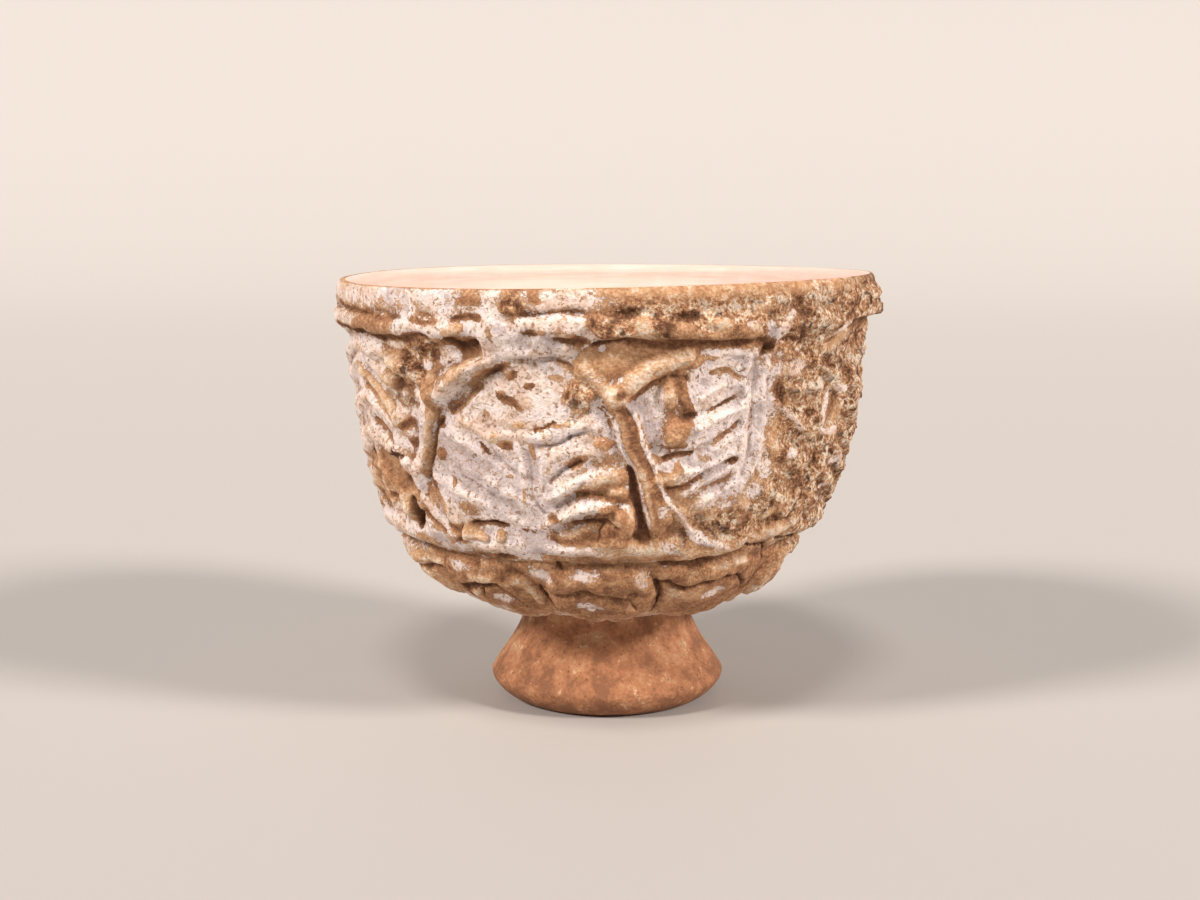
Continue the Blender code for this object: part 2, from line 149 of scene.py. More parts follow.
def wire(tree: bpy.types.NodeTree, kind: Node, inputs: Any = (),
         stops: Sequence[tuple[float, str]] = (), **settings: Any) -> bpy.types.NodeSocket:
    """Adds one node to a tree, with its settings, its inputs and its links.

    Args:
        tree: The node tree.
        kind: The kind of node.
        inputs: Values, hex colours or sockets for its inputs: a tuple in order, or a dict by name or
            number.
        stops: Places and hex colours for a colour ramp.
        settings: Properties of the node, besides those of its kind.

    Returns:
        The output socket that is read from its kind.
    """
    node_type, output, shared = kind.value
    node = tree.nodes.new(node_type)
    for name, value in (shared | settings).items():
        setattr(node, name, value)
    pairs = inputs.items() if isinstance(inputs, dict) else enumerate(inputs)
    for key, value in pairs:
        if isinstance(value, bpy.types.NodeSocket):
            tree.links.new(value, node.inputs[key])
        else:
            is_colour = isinstance(value, str) and value.startswith("#")
            node.inputs[key].default_value = linear_colour(value) if is_colour else value
    for index, (place, code) in enumerate(stops):
        elements = node.color_ramp.elements
        element = elements[index] if index < 2 else elements.new(place)
        element.position = place
        element.color = linear_colour(code)
    return node.outputs[output]


def added(name: str, data: bpy.types.ID) -> bpy.types.Object:
    """Adds an object to the scene.

    Args:
        name: Its name.
        data: Its mesh, light or camera.

    Returns:
        The object.
    """
    new = bpy.data.objects.new(name, data)
    bpy.context.scene.collection.objects.link(new)
    return new


def smoothstep(low: float, high: float, value: Array) -> Array:
    """0 below low, 1 above high, and a smooth rise between them."""
    share = np.clip((value - low) / (high - low), 0.0, 1.0)
    return share * share * (3.0 - 2.0 * share)


def ridge(distance: Array, half_width: Any, height: Any) -> Array:
    """A rounded ridge: its height at this distance from its line, and 0 past its half width."""
    share = np.clip(np.abs(distance) / half_width, 0.0, 1.0)
    return height * (1.0 - share**2) ** 1.5


def tapered_ridge(across: Array, height: Array, root: tuple[float, float], tip: tuple[float, float],
                  half_widths: tuple[float, float], tops: tuple[float, float]) -> Array:
    """A straight ridge between two points.

    Args:
        across: Distance round the wall of every point.
        height: Height of every point.
        root: Where the ridge starts, across and up.
        tip: Where it ends.
        half_widths: Its half width at the root and at the tip.
        tops: Its height at the root and at the tip.

    Returns:
        The relief at every point.
    """
    run = (tip[0] - root[0], tip[1] - root[1])
    share = ((across - root[0]) * run[0] + (height - root[1]) * run[1]) / (run[0]**2 + run[1]**2)
    share = np.clip(share, 0.0, 1.0)
    away = np.hypot(across - root[0] - share * run[0], height - root[1] - share * run[1])
    half_width = half_widths[0] + (half_widths[1] - half_widths[0]) * share
    return ridge(away, half_width, tops[0] + (tops[1] - tops[0]) * share)


def angle_between(angle: Array, other: Any) -> Array:
    """The turn from one angle to another, from -180 to 180."""
    return (angle - other + 180.0) % 360.0 - 180.0


def bezier(start: Vector, start_handle: Vector, end_handle: Vector, end: Vector,
           step: float) -> list[Vector]:
    """A Bezier stretch of the outline.

    Args:
        start: Where it starts.
        start_handle: The handle of its start.
        end_handle: The handle of its end.
        end: Where it ends.
        step: About how far apart its points are.

    Returns:
        Its points without the last one.
    """
    cage = (start, start_handle, end_handle, end)
    length = sum((b - a).length for a, b in zip(cage, cage[1:]))
    count = max(3, round(length / step))
    points = interpolate_bezier(start, start_handle, end_handle, end, count + 1)
    return [Vector((p[0], p[1])) for p in points[:-1]]


def scaled(shares: Vector, width: float, height: float) -> Vector:
    """A handle given as shares of a width and of a height."""
    return Vector((shares.x * width, shares.y * height))


def blurred(values: Array, reach: int) -> Array:
    """A grid of values, each the mean of its neighbours, the columns closing on themselves.

    Args:
        values: The grid, one row for each ring.
        reach: How many columns and rows away the neighbours go.

    Returns:
        The grid after two passes each way.
    """
    for _ in range(2):
        turned = np.concatenate([values[:, -reach - 1:], values, values[:, :reach]], axis=1)
        total = np.cumsum(turned, axis=1)
        values = (total[:, 2 * reach + 1:] - total[:, :-2 * reach - 1]) / (2 * reach + 1)
        padded = np.pad(values, ((reach + 1, reach), (0, 0)), mode="edge")
        total = np.cumsum(padded, axis=0)
        values = (total[2 * reach + 1:] - total[:-2 * reach - 1]) / (2 * reach + 1)
    return values


@dataclass(frozen=True)
class Outline:
    """The turned outline from the middle of the floor inside, over the lip and under the foot.

    Attributes:
        points: Radius and height of every point.
        zones: The finish of every point.
        carved: Whether each point is on the carved wall.
    """

    points: Array
    zones: Array
    carved: Array

    @property
    def lip(self) -> Array:
        """Whether each point is on the glazed side of the lip."""
        return (self.zones == Zone.GLAZED) & ~self.carved


@dataclass(frozen=True)
class CupForm:
    """Sizes of the cup's turned form, the same as the solid's. The foot's height is also that of its
    joint with the bowl."""

    foot_height: float = 21.4 * MM
    foot_radius: float = 25.9 * MM
    foot_edge_height: float = 5.3 * MM
    standing_radius: float = 20.4 * MM
    recess_radius: float = 14.6 * MM
    recess_depth: float = 3.2 * MM
    neck_radius: float = 18.3 * MM
    bowl_height: float = 72.1 * MM
    shoulder_radius: float = 47.0 * MM
    shoulder_height: float = 21.0 * MM
    wall_top_radius: float = 55.2 * MM
    wall: float = 4.6 * MM
    floor_thickness: float = 7.4 * MM
    rim_radius: float = 58.6 * MM
    rim_depth: float = 13.6 * MM
    rim_flare_height: float = 6.0 * MM
    lip_thickness: float = 4.0 * MM
    lip_outer_round: float = 1.5 * MM
    lip_drop: float = 2.1 * MM
    rim_rise: float = 0.6 * MM
    rim_twist: float = 0.3 * MM
    belly_shift: float = 1.5 * MM
    belly_shift_below_shoulder: float = 7.0 * MM
    belly_shift_reach: float = 15.0 * MM
    # Handles of the outline's curves, as shares of the stretch that each one bends
    shoulder_slope: tuple[float, float] = (0.46, 0.89)
    joint_handle: tuple[float, float] = (0.38, 0.05)
    shoulder_handle_below: float = 0.58
    shoulder_handle_above: float = 0.34
    wall_top_handle: tuple[float, float] = (0.014, 0.26)
    floor_handle: float = 0.55
    edge_handle_below: tuple[float, float] = (0.03, 0.38)
    edge_handle_above: tuple[float, float] = (0.30, 0.28)
    neck_handle: float = 0.42
    standing_handle: float = 0.35
    recess_handles: tuple[float, float] = (0.55, 0.86)
    # How far apart the outline's points are
    carved_step: float = 0.42 * MM
    lip_step: float = 0.4 * MM
    plain_step: float = 1.2 * MM
    foot_step: float = 0.6 * MM

    @property
    def lip_z(self) -> float:
        """Height of the lip."""
        return self.foot_height + self.bowl_height

    @property
    def shoulder_z(self) -> float:
        """Height of the cordon between petals and panels."""
        return self.foot_height + self.shoulder_height

    @property
    def wall_top_z(self) -> float:
        """Height at which the wall turns into the rim."""
        return self.lip_z - self.rim_depth

    def wall_ground(self) -> list[Vector]:
        """The outer ground of the bowl.

        Returns:
            Its points, from the joint up to the rim.
        """
        slope = Vector(self.shoulder_slope)
        joint = Vector((self.neck_radius, self.foot_height))
        shoulder = Vector((self.shoulder_radius, self.shoulder_z))
        top = Vector((self.wall_top_radius, self.wall_top_z))
        belly = self.shoulder_radius - self.neck_radius
        rise = self.wall_top_z - self.shoulder_z
        lower = bezier(joint, joint + scaled(Vector(self.joint_handle), belly, self.shoulder_height),
                       shoulder - slope * self.shoulder_handle_below * self.shoulder_height,
                       shoulder, self.carved_step)
        upper = bezier(shoulder, shoulder + slope * self.shoulder_handle_above * rise,
                       top - Vector(self.wall_top_handle) * rise, top, self.carved_step)
        return lower + upper + [top]

    def rim_ground(self) -> list[Vector]:
        """The outer line of the rim.

        Returns:
            Its points, from the top of the wall to where the lip rounds over.
        """
        count = round((self.rim_depth - self.lip_outer_round) / self.carved_step)
        heights = np.linspace(self.wall_top_z, self.lip_z - self.lip_outer_round, count + 1)[1:]
        swell = smoothstep(self.wall_top_z, self.wall_top_z + self.rim_flare_height, heights)
        radii = self.wall_top_radius + (self.rim_radius - self.wall_top_radius) * swell
        return [Vector((r, z)) for r, z in zip(radii, heights)]

    def lip(self) -> list[Vector]:
        """The lip: a tight round at its outer side and a long round falling to its inner side.

        Returns:
            Its points, from its outer side to its inner side.
        """
        crest = Vector((self.rim_radius - self.lip_outer_round, self.lip_z))
        outer_round = self.lip_outer_round
        inner_run = self.lip_thickness - outer_round
        quarter_share = 0.8  # of its two half axes together: about the length of a quarter ellipse
        outer_count = round(outer_round * math.pi / 2 / self.lip_step)
        inner_count = round((inner_run + self.lip_drop) * quarter_share / self.lip_step)
        outer = [crest + Vector((math.cos(a) * outer_round, (math.sin(a) - 1.0) * outer_round))
                 for a in np.linspace(0.0, math.pi / 2, outer_count + 1)[1:]]
        inner = [crest + Vector((-math.sin(a) * inner_run, (math.cos(a) - 1.0) * self.lip_drop))
                 for a in np.linspace(0.0, math.pi / 2, inner_count + 1)[1:]]
        return outer + inner

    def inside(self) -> list[Vector]:
        """The inside of the bowl.

        Returns:
            Its points, from the lip down to the middle of its floor.
        """
        slope = Vector(self.shoulder_slope)
        lip_inner = Vector((self.rim_radius - self.lip_thickness, self.lip_z - self.lip_drop))
        wall_top = Vector((self.wall_top_radius - self.wall, self.wall_top_z))
        inward = Vector((-slope.y, slope.x)) * self.wall
        shoulder = Vector((self.shoulder_radius, self.shoulder_z)) + inward
        middle = Vector((0.0, self.foot_height + self.floor_thickness))
        rise = self.wall_top_z - shoulder.y
        drop = shoulder.y - middle.y
        throat = Vector((0.0, (lip_inner.y - wall_top.y) / 3))
        points = bezier(lip_inner, lip_inner - throat, wall_top + throat, wall_top, self.foot_step)
        points += bezier(wall_top, wall_top - Vector(self.wall_top_handle) * rise,
                         shoulder + slope * self.shoulder_handle_above * rise, shoulder,
                         self.plain_step)
        points += bezier(shoulder, shoulder - slope * self.shoulder_handle_below * drop,
                         middle + Vector((self.floor_handle * shoulder.x, 0.0)), middle,
                         self.plain_step)
        return points[1:] + [middle]

    def foot(self) -> list[Vector]:
        """The foot.

        Returns:
            Its points, from the middle of its recess out and up to the neck.
        """
        ring_inner = Vector((self.recess_radius, 0.0))
        ring_outer = Vector((self.standing_radius, 0.0))
        edge = Vector((self.foot_radius, self.foot_edge_height))
        neck = Vector((self.neck_radius, self.foot_height))
        overhang = self.foot_radius - self.standing_radius
        waist = self.foot_radius - self.neck_radius
        rise = self.foot_height - self.foot_edge_height
        roof = [Vector((share * ring_inner.x, self.recess_depth))
                for share in (0.0, *self.recess_handles)]
        points = bezier(*roof, ring_inner, self.plain_step)
        ring_count = round((ring_outer.x - ring_inner.x) / self.plain_step)
        points += [Vector((r, 0.0)) for r in np.linspace(ring_inner.x, ring_outer.x, ring_count)[:-1]]
        below = scaled(Vector(self.edge_handle_below), overhang, -self.foot_edge_height)
        above = scaled(Vector(self.edge_handle_above), -waist, rise)
        points += bezier(ring_outer, ring_outer + Vector((self.standing_handle * overhang, 0.0)),
                         edge + below, edge, self.foot_step)
        points += bezier(edge, edge + above, neck - Vector((0.0, self.neck_handle * rise)), neck,
                         self.foot_step)
        return points

    def outline(self) -> Outline:
        """The whole outline.

        Returns:
            Its points, with the finish of each and whether it is carved.
        """
        under, carved = self.foot(), self.wall_ground() + self.rim_ground()
        lip, inside = self.lip(), self.inside()
        crest = sum(1 for point in lip if point.x >= self.rim_radius - self.lip_outer_round)
        zones = ([Zone.FOOT] * len(under) + [Zone.GLAZED] * (len(carved) + crest)
                 + [Zone.INSIDE] * (len(lip) - crest + len(inside)))
        on_wall = [False] * len(under) + [True] * len(carved) + [False] * (len(lip) + len(inside))
        points = np.array([tuple(p) for p in reversed(under + carved + lip + inside)])
        return Outline(points, np.array(zones[::-1]), np.array(on_wall[::-1]))

    def hand_rise(self, angle: Array, height: Array) -> Array:
        """How the rim, and less and less of the bowl below it, stands off level.

        Args:
            angle: Degrees round the cup of every point.
            height: Height of every point.

        Returns:
            How far each point is raised.
        """
        turned = np.radians(angle)
        full = self.rim_rise * np.sin(turned) + self.rim_twist * np.sin(2 * turned)
        return full * np.clip((height - self.foot_height) / self.bowl_height, 0.0, 1.0) ** 2

    def hand_shift(self, height: Array) -> Array:
        """How the belly leans out to the left of the foot and the rim.

        Args:
            height: Height of every point.

        Returns:
            How far each point is moved.
        """
        middle = self.shoulder_z - self.belly_shift_below_shoulder
        share = np.clip((height - middle) / self.belly_shift_reach, -1.0, 1.0)
        return self.belly_shift * (1.0 - share**2) ** 2


@dataclass(frozen=True)
class Surface:
    """Where every point of the outer wall lies, before it is carved.

    Attributes:
        angle: Degrees round the cup.
        radius: Distance from the axis.
        height: Height above the floor.
        reach: Distance along the outline.
    """

    angle: Array
    radius: Array
    height: Array
    reach: Array

    def rows(self, chosen: Array) -> "Surface":
        """The part of it in these rows."""
        return Surface(self.angle[chosen], self.radius[chosen], self.height[chosen], self.reach[chosen])


@dataclass(frozen=True)
class Wobble:
    """A smooth unevenness round the cup, as a hand leaves it.

    Attributes:
        seed: Fixes the waves.
        size: Length of the shortest wave.
        waves: How many waves are added up.
        radius: The radius on which the waves are measured.
        up: How closely they follow one another up the wall, as shares of the closest.
    """

    seed: int
    size: float
    waves: int = 14
    radius: float = 55.0 * MM
    up: tuple[float, float] = (0.3, 1.0)

    def at(self, surface: Surface) -> Array:
        """The unevenness of a wall.

        Args:
            surface: The wall.

        Returns:
            A value for every point, mostly from -1 to 1.
        """
        dice = np.random.default_rng(self.seed)
        turns = np.radians(surface.angle)
        most = math.tau * self.radius / self.size
        total = np.zeros_like(surface.angle)
        for _ in range(self.waves):
            across = dice.integers(1, max(2, int(most)))
            up = dice.uniform(*self.up) * math.tau / self.size * dice.choice((-1.0, 1.0))
            total += np.sin(across * turns + up * surface.height + dice.uniform(0.0, math.tau))
        return total / math.sqrt(self.waves)


@dataclass(frozen=True)
class Sway:
    """Moves the wall's points about, which makes what is laid on it uneven.

    Attributes:
        seed: Fixes the waves.
        fine: How far it moves a point in its short waves, in millimetres.
        coarse: How far it moves a point in its long waves, in millimetres.
        short_wave: Length of the shortest of its short waves.
        long_wave: Length of the shortest of its long waves.
    """

    seed: int
    fine: float
    coarse: float
    short_wave: float = 3.3 * MM
    long_wave: float = 8.0 * MM

    def moved(self, wall: Surface) -> Surface:
        """The wall with its points moved about."""
        moves = [(Wobble(self.seed + side, self.short_wave).at(wall) * self.fine
                  + Wobble(self.seed + 2 + side, self.long_wave).at(wall) * self.coarse) * MM
                 for side in (0, 1)]
        return Surface(wall.angle + np.degrees(moves[0] / wall.radius), wall.radius,
                       wall.height + moves[1], wall.reach + moves[1])


class Ground(Enum):
    """What lies on the wall at a place.

    Each has its crust (glaze where below 0), how rough it is, its tone and the soil in it, which in
    hollows also stands for painted shade. The tone runs from cold lilac to warm yellow on glaze, and from
    dark umber to pale tan on crust.
    """

    WHITE = (-0.47, 0.0, -0.3, 0.0)
    LILAC = (-0.5, 0.0, -0.8, 0.0)
    CREAM = (-0.38, 0.0, 0.2, 0.0)
    YELLOW = (-0.32, 0.0, 1.0, 0.0)
    FLECKED = (-0.16, 0.1, 0.2, 0.0)
    PATCHY = (0.0, 0.3, 0.2, 0.05)
    TAN = (0.5, 0.0, 0.6, 0.0)
    OCHRE = (0.55, 0.12, 0.4, 0.0)
    BROWN = (0.6, 0.15, -0.4, 0.05)
    UMBER = (0.7, 0.1, -0.9, 0.05)
    CRUST = (0.6, 1.0, 0.35, 0.0)
    PITTED = (0.8, 1.0, -0.7, 0.15)
    # Dark soil, which in deep hollows, slots and gaps also paints their shade
    SOIL = (0.9, 0.3, -1.0, 0.85)


WHITE, LILAC, CREAM, YELLOW, FLECKED, PATCHY, TAN, OCHRE, BROWN, UMBER, CRUST, PITTED, SOIL = Ground


@dataclass(frozen=True)
class Patch:
    """An oval place on the wall.

    Attributes:
        ground: What lies there, or None to leave it.
        angle: Where its middle is, in degrees.
        z: Height of its middle in millimetres.
        wide: Half its length along the turned direction, in millimetres.
        tall: Half its length across that, in millimetres.
        turn: How far its length is turned up from level, in degrees.
        lift: How far it bulges out in millimetres, below 0 where it is sunk.
        left: The share of the arcade's and the cordons' relief that is left there.
        fade: Where its ground starts to fade and where it ends, as shares of the way to its edge.
        bulge_end: Where its bulge ends, in the same way.
    """

    fade: ClassVar[tuple[float, float]] = (0.5, 1.5)
    bulge_end: ClassVar[float] = 1.4

    ground: Ground | None
    angle: float
    z: float
    wide: float
    tall: float
    turn: float = 0.0
    lift: float = 0.0
    left: float = 1.0

    def share(self, surface: Surface) -> Array:
        """How far out in the oval each point lies.

        Args:
            surface: The wall.

        Returns:
            0 in its middle, 1 on its edge, and more outside.
        """
        across = np.radians(angle_between(surface.angle, self.angle)) * MARK_RADIUS
        up = surface.height - self.z * MM
        cosine, sine = math.cos(math.radians(self.turn)), math.sin(math.radians(self.turn))
        return np.hypot((across * cosine + up * sine) / (self.wide * MM),
                        (up * cosine - across * sine) / (self.tall * MM))

    def cover(self, surface: Surface) -> Array:
        """1 inside it, fading to 0 past its edge."""
        return 1.0 - smoothstep(*self.fade, self.share(surface))

    def relief(self, surface: Surface) -> Array:
        """How far each point bulges out."""
        return ridge(self.share(surface), self.bulge_end, self.lift * MM)


@dataclass(frozen=True)
class Stroke:
    """A ridge or a groove along a line on the wall.

    Attributes:
        ground: What lies on it, or None to leave it.
        points: Angle in degrees and height in millimetres of each point of the line.
        half_width: Half its width at its start and at its end, in millimetres.
        lift: How far it stands out in millimetres, below 0 for a groove.
        widest_sharp: The largest half width that gives it a sharp line, in millimetres.
        fade: The profile at which its ground ends and that at which it is whole.
        sharp_lift: How much higher a sharp line is than a rounded one.
    """

    fade: ClassVar[tuple[float, float]] = (0.05, 0.5)
    sharp_lift: ClassVar[float] = 1.15

    ground: Ground | None
    points: tuple[tuple[float, float], ...]
    half_width: tuple[float, float]
    lift: float = 0.0
    widest_sharp: float = 1.75

    def profile(self, surface: Surface) -> Array:
        """How near the line each point lies.

        Args:
            surface: The wall.

        Returns:
            1 on the line, falling to 0 at its half width.
        """
        start = self.points[0]
        across = np.radians(angle_between(surface.angle, start[0])) * MARK_RADIUS
        line = [(math.radians(a - start[0]) * MARK_RADIUS, z * MM) for a, z in self.points]
        steps = len(line) - 1
        found = np.zeros_like(across)
        for index in range(steps):
            widths = [(self.half_width[0] + (self.half_width[1] - self.half_width[0]) * share) * MM
                      for share in (index / steps, (index + 1) / steps)]
            piece = tapered_ridge(across, surface.height, line[index], line[index + 1],
                                  (widths[0], widths[1]), (1.0, 1.0))
            found = np.maximum(found, piece)
        return found

    def cover(self, surface: Surface) -> Array:
        """1 along the middle of the line, fading to 0 towards its half width."""
        return smoothstep(*self.fade, self.profile(surface))

    def relief(self, surface: Surface) -> Array:
        """The line's relief: with a sharp crest where it is narrow, rounded where it is wide.

        Args:
            surface: The wall.

        Returns:
            How far each point stands out.
        """
        rounded = self.profile(surface)
        if max(self.half_width) > self.widest_sharp:
            return rounded * self.lift * MM
        # The power undoes the ridge's own, so what is left is 1 less the share of the half width
        return (1.0 - np.sqrt(1.0 - rounded ** (2 / 3))) * self.sharp_lift * self.lift * MM


@dataclass(frozen=True)
class Arcade:
    """The relief of the panels: leaning columns, low arches, and a leaf in each panel."""

    form: CupForm
    panels: int = 8
    first_column_angle: float = 7.3
    spacing_drift: float = 5.0
    column_lean: float = 4.8
    column_top_half_width: float = 2.2 * MM
    column_foot_half_width: float = 3.2 * MM
    column_height: float = 1.7 * MM
    column_foot_above_cordon: float = 3.0 * MM
    arch_top_below_lip: float = 12.5 * MM
    arch_rise: float = 11.0 * MM
    arch_roundness: float = 1.5
    arch_half_width: float = 2.3 * MM
    arch_height: float = 1.7 * MM
    smallest_share: float = 0.001
    # The curl at the left of each column's foot, and the spur at its right
    curl_offset: float = 5.6 * MM
    curl_above_foot: float = 3.2 * MM
    curl_radius: float = 3.7 * MM
    curl_height: float = 2.4 * MM
    spur_run: float = 7.4 * MM
    spur_rise: float = 8.0 * MM
    spur_half_width: float = 1.6 * MM
    spur_height: float = 1.2 * MM
    # The leaf in each panel. Each pair of half widths is a leaflet's at its root and at its tip.
    stem_half_width: float = 1.8 * MM
    stem_height: float = 0.9 * MM
    leaflet_root_height: float = 0.8 * MM
    leaflet_tip_height: float = 1.6 * MM
    leaflet_gap_to_column: float = 1.6 * MM
    rising_first_root: float = 0.6 * MM
    rising_pitch: float = 4.7 * MM
    rising_lift: float = 7.5 * MM
    rising_half_widths: tuple[float, float] = (1.2 * MM, 2.1 * MM)
    hanging_first_root: float = 2.4 * MM
    hanging_pitch: float = 7.6 * MM
    hanging_drop: float = 6.5 * MM
    hanging_half_widths: tuple[float, float] = (1.7 * MM, 3.1 * MM)

    @property
    def foot_z(self) -> float:
        """Height of the columns' feet."""
        return self.form.shoulder_z + self.column_foot_above_cordon

    @property
    def arch_top_z(self) -> float:
        """Height of the arches' tops."""
        return self.form.lip_z - self.arch_top_below_lip

    @property
    def spring_z(self) -> float:
        """Height at which the arches spring."""
        return self.arch_top_z - self.arch_rise

    def column_angle(self, index: int, height: Any) -> Any:
        """Where a column's middle line is.

        Args:
            index: Which column, from the first towards the right.
            height: The height, or a grid of them.

        Returns:
            Its angle there.
        """
        turn = 360.0 / self.panels
        drift = self.spacing_drift * math.sin(math.radians(turn * index))
        lean = self.column_lean if index % 2 == 0 else -self.column_lean
        up = np.clip((height - self.foot_z) / (self.spring_z - self.foot_z), 0.0, 1.0)
        return self.first_column_angle + turn * index + drift + lean * (1.0 - 2.0 * up)

    def panel_turn(self, index: int, height: Any) -> Any:
        """The angle from one column to the next at this height."""
        following = self.column_angle((index + 1) % self.panels, height)
        return (following - self.column_angle(index, height)) % 360.0

    def column(self, across: Array, height: Array) -> Array:
        """One column, with a curl at the left of its foot and a spur at the right.

        Args:
            across: Distance round the wall from its middle line.
            height: Height of every point.

        Returns:
            The relief at every point.
        """
        up = np.clip((height - self.foot_z) / (self.spring_z - self.foot_z), 0.0, 1.0)
        half_width = (self.column_foot_half_width
                      + (self.column_top_half_width - self.column_foot_half_width) * up)
        beyond = np.maximum(np.maximum(self.foot_z - height, height - self.spring_z), 0.0)
        shaft = ridge(np.hypot(across, beyond), half_width, self.column_height)
        curl_z = self.foot_z + self.curl_above_foot
        curl = ridge(np.hypot(across + self.curl_offset, height - curl_z), self.curl_radius,
                     self.curl_height)
        spur = tapered_ridge(across, height, (0.0, self.foot_z + self.spur_rise),
                             (self.spur_run, self.foot_z), (self.spur_half_width,) * 2,
                             (self.spur_height,) * 2)
        return np.maximum(shaft, np.maximum(curl, spur))

    def arch(self, across: Array, height: Array, half_span: float) -> Array:
        """The arch over one panel, from one column's top to the next one's.

        Args:
            across: Distance round the wall from the panel's middle.
            height: Height of every point.
            half_span: Half the panel's width where the arch springs.

        Returns:
            The relief at every point.
        """
        over = np.maximum(height - self.spring_z, 0.0)
        side, up, power = np.abs(across) / half_span, over / self.arch_rise, self.arch_roundness
        share = np.maximum((side**power + up**power) ** (1 / power), self.smallest_share)
        steepness = np.hypot(side ** (power - 1) / half_span, up ** (power - 1) / self.arch_rise)
        away = (share - 1.0) * share ** (power - 1) / np.maximum(steepness, 1.0)
        line = ridge(away, self.arch_half_width, self.arch_height)
        return np.where(height >= self.spring_z, line, 0.0)

    def leaflet_heights(self, leaves: Leaves) -> list[tuple[float, float]]:
        """Where a leaf's pairs of leaflets are, as many as the panel holds.

        Args:
            leaves: Whether they rise or hang.

        Returns:
            The heights of each pair's roots and tips.
        """
        if leaves is Leaves.RISING:
            roots = np.arange(self.foot_z + self.rising_first_root,
                              self.spring_z - self.rising_pitch, self.rising_pitch)
            return [(root, root + self.rising_lift) for root in roots]
        lowest = self.foot_z + self.hanging_drop + self.hanging_half_widths[1]
        roots = np.arange(self.arch_top_z - self.hanging_first_root, lowest, -self.hanging_pitch)
        return [(root, root - self.hanging_drop) for root in roots]

    def leaf(self, across: Array, height: Array, half_span: Callable[[float], float],
             leaves: Leaves) -> Array:
        """The leaf of one panel: a stem, and leaflets in pairs.

        Args:
            across: Distance round the wall from the panel's middle.
            height: Height of every point.
            half_span: Gives half the panel's width at a height.
            leaves: Whether the leaflets rise or hang.

        Returns:
            The relief at every point.
        """
        stem_top = self.arch_top_z - self.arch_half_width
        beyond = np.maximum(np.maximum(self.foot_z - height, height - stem_top), 0.0)
        relief = ridge(np.hypot(across, beyond), self.stem_half_width, self.stem_height)
        rising = leaves is Leaves.RISING
        half_widths = self.rising_half_widths if rising else self.hanging_half_widths
        margin = self.column_foot_half_width + self.leaflet_gap_to_column + half_widths[1]
        tops = (self.leaflet_root_height, self.leaflet_tip_height)
        for root_z, tip_z in self.leaflet_heights(leaves):
            reach = half_span(tip_z) - margin
            for side in (-1, 1):
                leaflet = tapered_ridge(across, height, (0.0, root_z), (side * reach, tip_z),
                                        half_widths, tops)
                relief = np.maximum(relief, leaflet)
        return relief

    def relief(self, surface: Surface) -> Array:
        """The relief of all panels.

        Args:
            surface: The wall.

        Returns:
            How far each point stands out.
        """
        angle, radius, height = surface.angle, surface.radius, surface.height
        relief = np.zeros_like(angle)
        for index in range(self.panels):
            def half_span(at_height: float, index: int = index) -> float:
                """Half the panel's width at a height."""
                turn = float(self.panel_turn(index, at_height))
                return math.radians(turn / 2) * self.form.wall_top_radius

            left = self.column_angle(index, height)
            across = np.radians(angle_between(angle, left)) * radius
            relief = np.maximum(relief, self.column(across, height))
            middle = left + self.panel_turn(index, height) / 2
            across = np.radians(angle_between(angle, middle)) * radius
            relief = np.maximum(relief, self.arch(across, height, half_span(self.spring_z)))
            within = np.abs(across) < half_span(self.foot_z)
            leaves = Leaves.RISING if index % 2 == 1 else Leaves.HANGING
            leaf = self.leaf(across, height, half_span, leaves)
            relief = np.maximum(relief, np.where(within, leaf, 0.0))
        return relief


@dataclass(frozen=True)
class PetalRing:
    """The petals that curl under the bowl, each a domed tongue with a sunk ring inside it.

    The ring's place and width are shares of the way to the petal's edge. It starts between the two
    angles of ring_from, because at the front the marks take its place.
    """

    form: CupForm
    petals: int = 10
    foot_above_joint: float = 1.8 * MM
    gap: float = 1.6 * MM
    height: float = 2.3 * MM
    ring_depth: float = 1.3 * MM
    ring_at: float = 0.58
    ring_width: float = 0.12
    ring_from: tuple[float, float] = (46.0, 60.0)
    squareness: float = 2.6
    groove_below_cordon: float = 4.4 * MM

    def relief(self, surface: Surface) -> Array:
        """The relief of all petals.

        Args:
            surface: The wall.

        Returns:
            How far each point stands out.
        """
        top_z = self.form.shoulder_z - self.groove_below_cordon
        in_band = (surface.height > self.form.foot_height + self.foot_above_joint) & (surface.height < top_z)
        low_reach, top_reach = surface.reach[in_band].min(), surface.reach[in_band].max()
        turn = 360.0 / self.petals
        across = np.radians((surface.angle + turn / 2) % turn - turn / 2) * surface.radius
        half_width = np.radians(turn / 2) * surface.radius - self.gap / 2
        along = (surface.reach - (low_reach + top_reach) / 2) / ((top_reach - low_reach) / 2)
        power = self.squareness
        share = (np.abs(across / half_width) ** power + np.abs(along) ** power) ** (1 / power)
        dome = self.height * np.sqrt(np.clip(1.0 - share**2, 0.0, 1.0))
        ring = self.ring_depth * np.exp(-(((share - self.ring_at) / self.ring_width) ** 2))
        ring *= smoothstep(*self.ring_from, np.abs(surface.angle))
        return np.where(in_band & (share < 1.0), dome - ring, 0.0)


